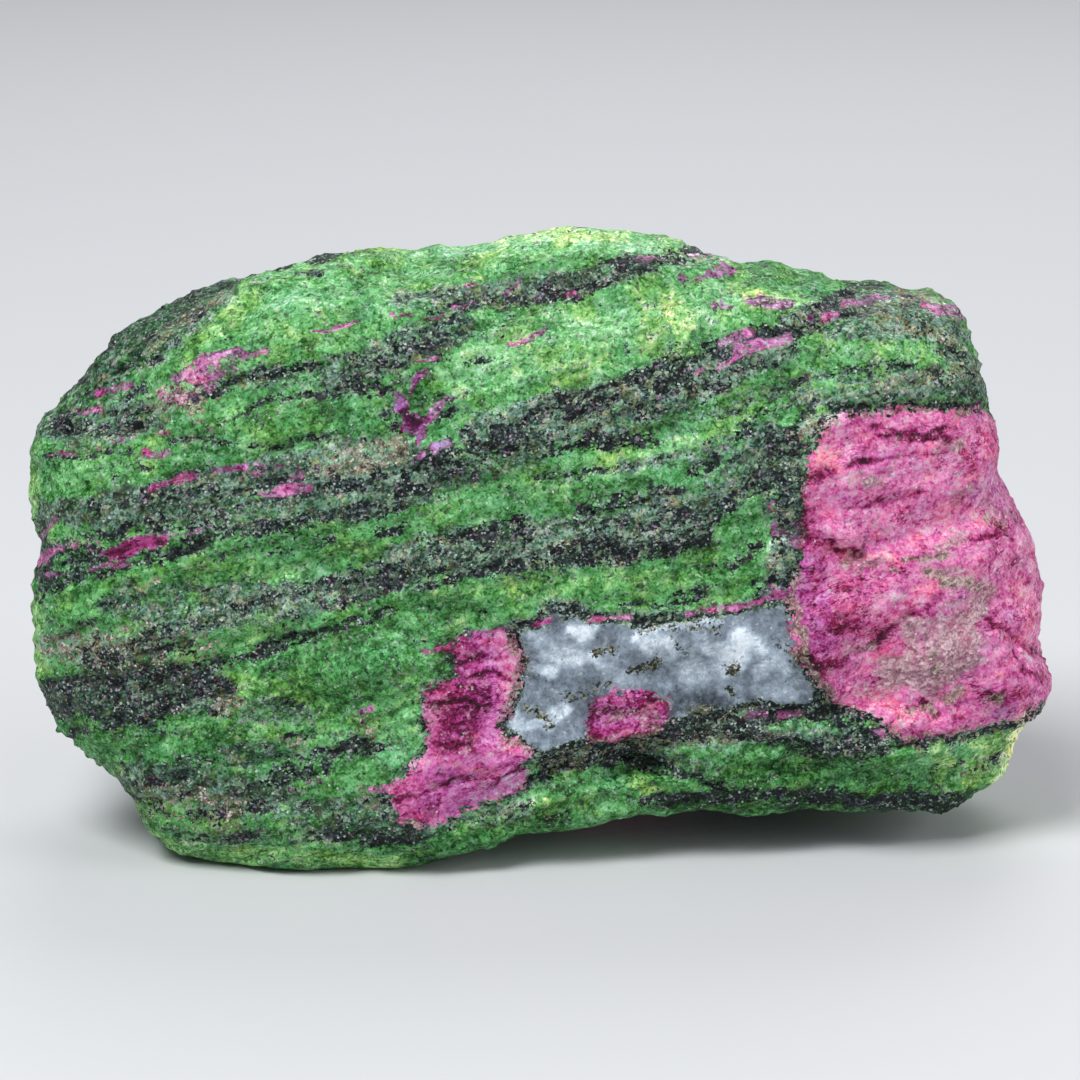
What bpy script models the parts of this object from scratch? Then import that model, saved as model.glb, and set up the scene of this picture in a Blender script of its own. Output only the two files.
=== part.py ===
"""Ruby in zoisite: one rough broken stone, standing on its long edge.

The stone is modelled as the one piece that it is. Green zoisite with black
amphibole bands makes the body, a large ruby crystal fills its right end, and
smaller ruby and quartz lie in the lower half of its broken front face.

Frame: +X along the stone's length, -Y towards the broken front face, +Z up.
The origin is on the resting plane, under the middle of the stone.
Lengths in the tables are in millimetres, and the mesh is in metres.
"""

import math

import bpy
import numpy as np
from mathutils import Matrix, Vector, noise

MM = 0.001

# Driving dimensions
LENGTH = 119.0
MIDDLE_Z = 34.0
MIDDLE_Y = -2.0
FRONT_DEPTH = 21.5
BACK_DEPTH = 24.0
VOXEL = 1.05
FACE_LIMIT = 9300

# The widest section seen from the front, clockwise from the left end: x and z
# of each corner or bend.
OUTLINE = (
    (-59.1, 40.6), (-58.7, 44.4), (-58.0, 48.5), (-56.6, 50.6), (-52.0, 54.4),
    (-49.8, 57.4), (-47.8, 59.3), (-43.7, 61.4), (-39.0, 63.9), (-33.2, 66.0),
    (-27.4, 67.3), (-21.1, 68.5), (-17.6, 68.4), (-14.9, 67.5), (-11.6, 68.9),
    (-6.7, 69.1), (-2.1, 70.3), (5.4, 71.1), (12.9, 70.4), (18.7, 68.8),
    (23.3, 67.0), (26.7, 66.7), (29.4, 65.6), (32.1, 65.8), (36.0, 64.5),
    (42.3, 64.3), (47.0, 63.6), (49.0, 61.5), (50.6, 57.2), (51.8, 52.2),
    (53.2, 48.0), (53.0, 43.8), (55.0, 39.6), (56.9, 35.6), (57.6, 31.8),
    (58.9, 28.6), (58.0, 23.0), (58.8, 21.2), (60.6, 19.0), (59.1, 15.8),
    (57.0, 13.2), (55.5, 10.4), (55.6, 7.8), (52.4, 5.4), (48.6, 4.2),
    (39.9, 3.9), (30.5, 4.0), (18.9, 4.4), (11.9, 4.8), (7.2, 4.9),
    (1.1, 3.6), (-4.8, 2.5), (-8.2, 1.0), (-14.4, -0.6), (-22.0, -1.2), (-31.3, -1.0),
    (-40.1, -0.8), (-43.6, 0.6), (-46.2, 3.6), (-48.2, 7.2), (-49.9, 9.6),
    (-52.6, 11.4), (-55.9, 14.4), (-57.6, 17.2), (-58.4, 20.6), (-58.9, 26.8),
    (-58.9, 31.2), (-57.4, 33.8), (-58.5, 37.2),
)

# How square the section is from front to back, by compass angle in degrees
# round the front view, from +X towards +Z: 2 is round, and 8 nearly square.
SQUARENESS_FRONT = ((-180, 3.4), (-140, 5.0), (-115, 7.5), (-80, 6.0), (-45, 4.0),
                    (-10, 3.6), (40, 3.8), (90, 3.2), (140, 3.2), (180, 3.4))
SQUARENESS_BACK = ((-180, 2.6), (-120, 4.2), (-60, 4.2), (0, 2.8), (60, 2.4),
                   (120, 2.4), (180, 2.6))

# Fracture facets: a point on each, its outward direction, and how far its
# edge is rounded over.
FACETS = (
    ((-45.0, -15.0, 60.0), (-0.46, -0.64, 0.60), 1.0),
    ((-4.0, -15.0, 68.0), (-0.04, -0.55, 0.83), 1.5),
    ((33.0, -14.5, 65.0), (0.26, -0.66, 0.70), 1.0),
    ((-57.0, -16.5, 40.0), (-0.78, -0.60, 0.10), 1.0),
    ((-52.0, -17.5, 14.0), (-0.68, -0.68, -0.26), 1.0),
    ((56.0, -16.5, 30.0), (0.70, -0.70, 0.10), 1.0),
    ((34.0, -15.5, 3.5), (0.16, -0.72, -0.68), 1.0),
    ((-30.0, 12.0, 62.0), (-0.24, 0.60, 0.76), 0.6),
    ((-4.0, 19.0, 46.0), (-0.06, 0.90, 0.43), 0.6),
    ((28.0, 12.0, 60.0), (0.22, 0.66, 0.72), 0.6),
    ((36.0, 18.0, 36.0), (0.38, 0.90, 0.22), 0.6),
    ((-42.0, 16.5, 42.0), (-0.52, 0.80, 0.30), 0.6),
    ((-50.0, 14.0, 20.0), (-0.72, 0.68, -0.16), 0.6),
    ((50.0, 14.0, 20.0), (0.74, 0.66, -0.12), 0.6),
    ((53.0, 8.0, 48.0), (0.82, 0.44, 0.36), 0.6),
    ((-54.0, 6.0, 50.0), (-0.80, 0.36, 0.48), 0.6),
    ((10.0, 21.2, 22.0), (0.10, 0.97, -0.20), 0.8),
    ((-28.0, 20.2, 16.0), (-0.14, 0.92, -0.36), 0.8),
    ((20.0, 17.0, 5.0), (0.10, 0.60, -0.79), 0.8),
)
FACET_WAVE = 0.9
FACET_WAVE_LENGTH = 15.0

# Relief of the broken front face. Each row is a run of x and z, how far it
# stands out of the face (or in, if negative) and its half width.
RIBS = (
    (((-40, 34), (-22, 38), (-6, 43), (14, 50), (34, 59)), -0.8, 2.4),
    (((-50, 22), (-30, 27), (-8, 31), (16, 34), (26, 42)), -0.7, 2.2),
    (((-46, 45), (-26, 49), (-10, 54)), -0.6, 2.0),
    (((-40, 56), (-26, 61), (-10, 64)), 0.9, 3.5),
    (((-4, 53), (8, 57), (16, 61)), 1.2, 4.0),
    (((19, 56), (19, 63)), -0.9, 1.5),
    (((-36, 12), (-20, 15), (-14, 16)), -0.9, 2.4),
    (((-18, 24), (-12, 17), (-14, 8)), 0.9, 4.5),
    (((-2, 21), (8, 22), (24, 22), (31, 18)), -1.2, 4.5),
    (((30, 44), (31, 34), (31, 24), (35, 16)), 0.9, 3.0),
    (((36, 46), (44, 47), (52, 47)), 0.9, 2.5),
    (((34, 37), (44, 40), (53, 42)), -1.0, 1.8),
    (((33, 31), (37, 33), (40, 34)), 1.5, 2.2),
    (((36, 26), (44, 28), (54, 30)), -0.7, 2.2),
    (((40, 21), (48, 20), (52, 15)), -1.4, 4.5),
    (((56, 22), (57, 17), (54, 12)), 1.4, 2.8),
    (((-10, 8), (2, 12), (14, 13), (26, 11.5), (40, 10), (48, 9)), -1.6, 1.9),
    (((2, 6), (9, 7.5), (20, 8), (34, 6.5), (48, 5.5)), 1.8, 2.6),
)

# Places where the underside comes down to the table: x, y, drop, radius.
FEET = ((33.0, 13.0, 5.6, 8.5), (-30.0, 8.0, 1.2, 12.0))

# Natural unevenness: height and wavelength of each size of lump, and the
# layered break, which is drawn out along the bands.
LUMPS = ((1.3, 24.0), (0.8, 9.0), (0.45, 4.5))
BAND_RISE = math.radians(15.0)
BAND_DIP = math.radians(20.0)
LAYERS = ((1.0, (26.0, 6.5, 16.0)), (0.6, (14.0, 3.6, 8.0)))

STONE_GREEN = (0.11, 0.30, 0.12, 1.0)
STONE_ROUGHNESS = 0.62


def clear_scene():
    """Remove every object that the scene starts with."""
    for thing in list(bpy.data.objects):
        bpy.data.objects.remove(thing, do_unlink=True)


def collection_named(name):
    """Return a new collection that is linked to the scene."""
    made = bpy.data.collections.new(name)
    bpy.context.scene.collection.children.link(made)
    return made


def move_to(thing, collection):
    """Put an object in one collection only."""
    for old in list(thing.users_collection):
        old.objects.unlink(thing)
    collection.objects.link(thing)


def points_of(thing):
    """Return an object's mesh points in millimetres, as rows of x, y, z."""
    flat = np.empty(len(thing.data.vertices) * 3)
    thing.data.vertices.foreach_get("co", flat)
    return flat.reshape(-1, 3) / MM


def normals_of(thing):
    """Return the outward direction at each point of an object's mesh."""
    flat = np.empty(len(thing.data.vertices) * 3)
    thing.data.vertices.foreach_get("normal", flat)
    return flat.reshape(-1, 3)


def set_points(thing, points):
    """Write points in millimetres back to an object's mesh."""
    thing.data.vertices.foreach_set("co", (points * MM).ravel())
    thing.data.update()


def apply_modifiers(thing):
    """Make an object's modifiers part of its mesh."""
    graph = bpy.context.evaluated_depsgraph_get()
    made = bpy.data.meshes.new_from_object(thing.evaluated_get(graph))
    thing.modifiers.clear()
    thing.data = made


def remesh(thing):
    """Replace a mesh by an even one with faces of about one voxel."""
    modifier = thing.modifiers.new("Even mesh", "REMESH")
    modifier.mode = "VOXEL"
    modifier.voxel_size = VOXEL * MM
    apply_modifiers(thing)


def smooth_step(low, high, value):
    """Rise smoothly from 0 at low to 1 at high."""
    share = np.clip((value - low) / (high - low), 0.0, 1.0)
    return share * share * (3.0 - 2.0 * share)


def noise_at(points, shift=0.0):
    """Return smooth noise between about -1 and 1 at each point."""
    offset = Vector((shift, 0.3 * shift, 0.7 * shift))
    return np.array([noise.noise(Vector(point) + offset) for point in points])


def by_compass(table, angle):
    """Read a table of (degrees, value) at angles in radians."""
    degrees, values = np.array(table, float).T
    return np.interp(np.degrees(angle), degrees, values)


def outline_radius(angle):
    """Return the outline's distance from the middle at each angle."""
    x, z = np.array(OUTLINE, float).T
    corner_angle = np.arctan2(z - MIDDLE_Z, x)
    radius = np.hypot(x, z - MIDDLE_Z)
    order = np.argsort(corner_angle)
    return np.interp(angle, corner_angle[order], radius[order], period=2.0 * math.pi)


def front_depth(x, z):
    """Depth of the front face, which leans back and is cut under at its
    lower right."""
    lean = 0.075 * np.maximum(z - 22.0, 0.0)
    turn = 0.03 * x
    undercut = 4.0 * smooth_step(12.0, 2.0, z) * smooth_step(-10.0, 16.0, x)
    toe = 2.5 * smooth_step(26.0, 2.0, z) * smooth_step(10.0, -14.0, x)
    return FRONT_DEPTH - lean - turn - undercut + toe


def back_depth(x, z):
    """Depth of the back face, which is thickest low down."""
    return BACK_DEPTH - 0.15 * np.maximum(z - 20.0, 0.0) + 0.02 * x


def swell(ball):
    """Spread the points of a unit ball over the stone's rounded block form."""
    in_view = np.hypot(ball[:, 0], ball[:, 2])
    depth = np.abs(ball[:, 1])
    angle = np.arctan2(ball[:, 2], ball[:, 0])
    is_front = ball[:, 1] < 0.0
    power = np.where(is_front, by_compass(SQUARENESS_FRONT, angle),
                     by_compass(SQUARENESS_BACK, angle))
    grow = (in_view ** power + depth ** power) ** (-1.0 / power)
    radius = grow * in_view * outline_radius(angle)
    x = radius * np.cos(angle)
    z = MIDDLE_Z + radius * np.sin(angle)
    front = MIDDLE_Y - grow * depth * front_depth(x, z)
    back = MIDDLE_Y + grow * depth * back_depth(x, z)
    return np.column_stack((x, np.where(is_front, front, back), z))


def make_block():
    """Make the stone's rounded block from a ball, evenly meshed."""
    bpy.ops.mesh.primitive_ico_sphere_add(subdivisions=7, radius=MM)
    block = bpy.context.object
    block.name = "stone"
    set_points(block, swell(points_of(block)))
    remesh(block)
    return block


def strike_facets(block):
    """Break the block back to each fracture facet that cuts it."""
    points = points_of(block)
    for row, (place, direction, round_over) in enumerate(FACETS):
        outward = np.array(Vector(direction).normalized())
        wave = FACET_WAVE * noise_at(points / FACET_WAVE_LENGTH, 7.0 * row)
        over = (points - np.array(place)) @ outward + wave
        cut = 0.5 * (over + np.hypot(over, round_over))
        inside = over < -3.0 * round_over
        points = points - np.outer(np.where(inside, 0.0, cut), outward)
    set_points(block, points)
    remesh(block)


def distance_to_run(x, z, run):
    """Return each point's distance in the front view from a run of points."""
    nearest = np.full(len(x), np.inf)
    for (ax, az), (bx, bz) in zip(run, run[1:]):
        dx, dz = bx - ax, bz - az
        along = ((x - ax) * dx + (z - az) * dz) / (dx * dx + dz * dz)
        along = np.clip(along, 0.0, 1.0)
        gap = np.hypot(x - ax - along * dx, z - az - along * dz)
        nearest = np.minimum(nearest, gap)
    return nearest


def carve_front(block):
    """Raise the ribs and sink the grooves of the broken front face."""
    points = points_of(block)
    normals = normals_of(block)
    faces_front = smooth_step(0.15, 0.6, -normals[:, 1])
    out = np.zeros(len(points))
    for run, height, half_width in RIBS:
        gap = distance_to_run(points[:, 0], points[:, 2], run)
        out += height * np.exp(-((gap / half_width) ** 2))
    set_points(block, points + normals * (out * faces_front)[:, None])


def layered_break(points):
    """Return the relief of a break across layers: long along the bands,
    short across them."""
    turn = Matrix.Rotation(BAND_RISE, 3, "Y") @ Matrix.Rotation(BAND_DIP, 3, "X")
    bent = points + 3.0 * np.column_stack([noise_at(points / 25.0, shift)
                                           for shift in (31.0, 37.0, 41.0)])
    along_bands = bent @ np.array(turn.transposed())
    out = np.zeros(len(points))
    for row, (height, (along, across, into)) in enumerate(LAYERS):
        drawn_out = along_bands / np.array((along, into, across))
        ridge = 1.0 - 2.0 * np.abs(noise_at(drawn_out, 11.0 + row))
        out += height * (ridge - 0.6)
    return out


def roughen(block):
    """Add the lumps and the layering of a natural break."""
    points = points_of(block)
    normals = normals_of(block)
    out = layered_break(points)
    for row, (height, wavelength) in enumerate(LUMPS):
        out += height * noise_at(points / wavelength, 17.0 + 3.0 * row)
    # The measured outline keeps its shape, so the rim moves less.
    off_rim = smooth_step(0.2, 0.8, np.abs(normals[:, 1]))
    set_points(block, points + normals * (out * (0.4 + 0.6 * off_rim))[:, None])


def lower_feet(block):
    """Bring the underside down to the table where the stone touches it."""
    points = points_of(block)
    faces_down = smooth_step(0.2, 0.7, -normals_of(block)[:, 2])
    for x, y, drop, radius in FEET:
        gap = np.hypot(points[:, 0] - x, points[:, 1] - y)
        points[:, 2] -= drop * np.exp(-((gap / radius) ** 4)) * faces_down
    set_points(block, points)


def thin_faces(block):
    """Keep faces where the form needs them, under the limit."""
    faces = sum(len(face.vertices) - 2 for face in block.data.polygons)
    modifier = block.modifiers.new("Thin faces", "DECIMATE")
    modifier.ratio = FACE_LIMIT / faces
    apply_modifiers(block)


def centre_on_origin(block):
    """Put the middle of the stone's length and depth over the origin."""
    points = points_of(block)
    middle = 0.5 * (points.min(axis=0) + points.max(axis=0))
    middle[2] = 0.0
    set_points(block, points - middle)


def rest_on_table(block, cutters):
    """Cut the feet flat where they stand on the table."""
    bpy.ops.mesh.primitive_cube_add(size=1.0)
    table = bpy.context.object
    table.name = "table_cutter"
    table.data.transform(Matrix.Translation((0.0, 0.0, -0.5)))
    table.data.transform(Matrix.Scale(2.0 * LENGTH * MM, 4))
    table.hide_render = True
    table.display_type = "WIRE"
    move_to(table, cutters)
    cut = block.modifiers.new("Feet", "BOOLEAN")
    cut.operation = "DIFFERENCE"
    cut.object = table
    cut.solver = "EXACT"


def stone_material():
    """Return the plain green of the stone's body."""
    material = bpy.data.materials.new("zoisite_green")
    material.use_nodes = True
    shader = material.node_tree.nodes["Principled BSDF"]
    shader.inputs["Base Color"].default_value = STONE_GREEN
    shader.inputs["Roughness"].default_value = STONE_ROUGHNESS
    shader.inputs["Metallic"].default_value = 0.0
    return material


def main():
    """Build the stone."""
    clear_scene()
    parts = collection_named("ruby_in_zoisite")
    cutters = collection_named("cutters")
    stone = make_block()
    move_to(stone, parts)
    strike_facets(stone)
    carve_front(stone)
    roughen(stone)
    lower_feet(stone)
    thin_faces(stone)
    centre_on_origin(stone)
    rest_on_table(stone, cutters)
    stone.data.materials.clear()
    stone.data.materials.append(stone_material())


main()
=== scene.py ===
"""Ruby in zoisite, dressed: one rough stone of green zoisite with black bands,
magenta ruby and grey quartz, in a plain studio.

The stone is one piece. Its mesh is a fine copy of the solid, broken up by
relief in code. Its minerals are painted on the mesh's points as densities and
edge distances, and the material turns these into single grains. Light and
shade are partly painted in too: lighter and darker places, shade in hollows
and small pits, and white glints.
"""

import logging
import math
from dataclasses import dataclass
from enum import Enum

import bpy
import numpy as np
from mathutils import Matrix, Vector, noise


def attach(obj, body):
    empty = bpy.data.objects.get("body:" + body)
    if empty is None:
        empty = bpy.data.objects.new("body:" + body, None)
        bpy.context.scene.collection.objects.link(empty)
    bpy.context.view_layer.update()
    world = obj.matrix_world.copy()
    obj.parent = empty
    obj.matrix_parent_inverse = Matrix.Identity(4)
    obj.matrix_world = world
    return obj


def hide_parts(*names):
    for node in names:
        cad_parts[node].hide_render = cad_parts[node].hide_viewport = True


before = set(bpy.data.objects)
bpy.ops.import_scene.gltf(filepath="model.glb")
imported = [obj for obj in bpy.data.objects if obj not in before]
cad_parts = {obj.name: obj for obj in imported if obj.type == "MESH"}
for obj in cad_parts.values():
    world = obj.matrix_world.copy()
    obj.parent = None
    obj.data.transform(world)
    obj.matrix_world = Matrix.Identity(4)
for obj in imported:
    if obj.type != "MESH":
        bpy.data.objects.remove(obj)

Array = np.ndarray
Colour = tuple[float, float, float]
Place = tuple[float, float, float]
Path = tuple[tuple[float, float, float], ...]
Outline = tuple[tuple[float, float], ...]

MM = 0.001
TINY = 1e-9
HALVES: Place = (0.5, 0.5, 0.5)
BAND_TURN = math.radians(15.0)
LOG = logging.getLogger("stone")


class Layer(Enum):
    """What is painted on the stone's points, by the name of its attribute."""

    DARK = "dark"
    MIXED = "mixed"
    LIME = "lime"
    PALE = "pale"
    TAN = "tan"
    FLECK = "fleck"
    LILAC = "lilac"
    # Lighter and darker places: the stone's tone, with painted light and shade
    SHADE = "shade"
    GROOVE = "groove"
    RUBY = "ruby"
    QUARTZ = "quartz"
    # How deep the relief sits, for painted shade in its hollows
    HOLLOW = "hollow_shade"


@dataclass(frozen=True)
class Stroke:
    """One brush stroke on the front view.

    Attributes:
        strength: How much it adds, or takes away if negative.
        path: x, y and half width of each of its points, in picture points.
    """

    strength: float
    path: Path

    def cover(self, x: Array, y: Array) -> Array:
        """Return how fully the stroke covers each place.

        Args:
            x: Picture x of each place.
            y: Picture y of each place.

        Returns:
            0 outside the stroke to 1 along its middle.
        """
        best = np.full(len(x), np.inf)
        ends = self.path[1:] or self.path
        for (ax, ay, aw), (bx, by, bw) in zip(self.path, ends):
            dx, dy = bx - ax, by - ay
            length = dx * dx + dy * dy + TINY
            along = np.clip(((x - ax) * dx + (y - ay) * dy) / length, 0.0, 1.0)
            gap = np.hypot(x - ax - along * dx, y - ay - along * dy)
            best = np.minimum(best, gap / (aw + along * (bw - aw)))
        return smooth_step(1.35, 0.55, best)


def strokes(*rows: tuple[float | Place, ...]) -> tuple[Stroke, ...]:
    """Return strokes from rows of a strength and the points of a path."""
    return tuple(Stroke(row[0], row[1:]) for row in rows)


def smooth_step(low: float, high: float, value: Array) -> Array:
    """Rise smoothly from 0 at low to 1 at high.

    Args:
        low: Where the result is 0.
        high: Where the result is 1.
        value: The values to read.

    Returns:
        The share for each value.
    """
    share = np.clip((value - low) / (high - low), 0.0, 1.0)
    return share * share * (3.0 - 2.0 * share)


def seed_offset(seed: float) -> Vector:
    """Return how far a seed moves a noise."""
    return Vector((seed, 0.37 * seed, 0.71 * seed))


def noise_at(points: Array, seed: float) -> Array:
    """Return smooth noise, about -1 to 1, at each point.

    Args:
        points: Rows of x, y, z, already divided by the wavelength.
        seed: Moves the pattern.

    Returns:
        One value for each row.
    """
    offset = seed_offset(seed)
    return np.array([noise.noise(Vector(row) + offset) for row in points])


def fractal_at(points: Array, seed: float, octaves: int = 3) -> Array:
    """Return noise with finer detail added, about -1 to 1, at each point.

    Args:
        points: Rows of x, y, z, already divided by the wavelength.
        seed: Moves the pattern.
        octaves: Number of sizes of detail.

    Returns:
        One value for each row.
    """
    offset = seed_offset(seed)
    return np.array([noise.fractal(Vector(row) + offset, 0.9, 2.1, octaves)
                     for row in points])


@dataclass(frozen=True)
class PhotoCamera:
    """The camera at the photograph's viewing angle.

    Attributes:
        target: Point at the middle of the picture, in metres.
        distance: From the camera to the target, in metres.
        focal: Focal length in picture points.
        across: Width of the picture in picture points.
        elevation: How far the camera looks down, in radians.
        sensor: Width of its sensor in mm.
    """

    target: Place = (-0.000114, 0.002598, 0.0336)
    distance: float = 0.520
    focal: float = 4420.0
    across: float = 1080.0
    elevation: float = math.radians(15.0)
    sensor: float = 36.0

    def picture(self, points: Array) -> tuple[Array, Array]:
        """Return where points appear in the picture.

        Args:
            points: Rows of x, y, z in metres.

        Returns:
            Picture x and y of each row.
        """
        x, y, z = (points - np.array(self.target)).T
        cosine, sine = math.cos(self.elevation), math.sin(self.elevation)
        depth = self.distance + y * cosine - z * sine
        up = y * sine + z * cosine
        middle = 0.5 * self.across
        return middle + self.focal * x / depth, middle - self.focal * up / depth

    def place(self) -> None:
        """Add the camera to the scene."""
        forward = Vector((0.0, math.cos(self.elevation), -math.sin(self.elevation)))
        data = bpy.data.cameras.new("photo_camera")
        data.sensor_width = self.sensor
        data.lens = self.focal * self.sensor / self.across
        data.clip_start = 0.01
        data.clip_end = 10.0
        camera = bpy.data.objects.new("photo_camera", data)
        bpy.context.scene.collection.objects.link(camera)
        camera.location = Vector(self.target) - forward * self.distance
        camera.rotation_euler = forward.to_track_quat("-Z", "Y").to_euler()
        bpy.context.scene.camera = camera


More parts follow.
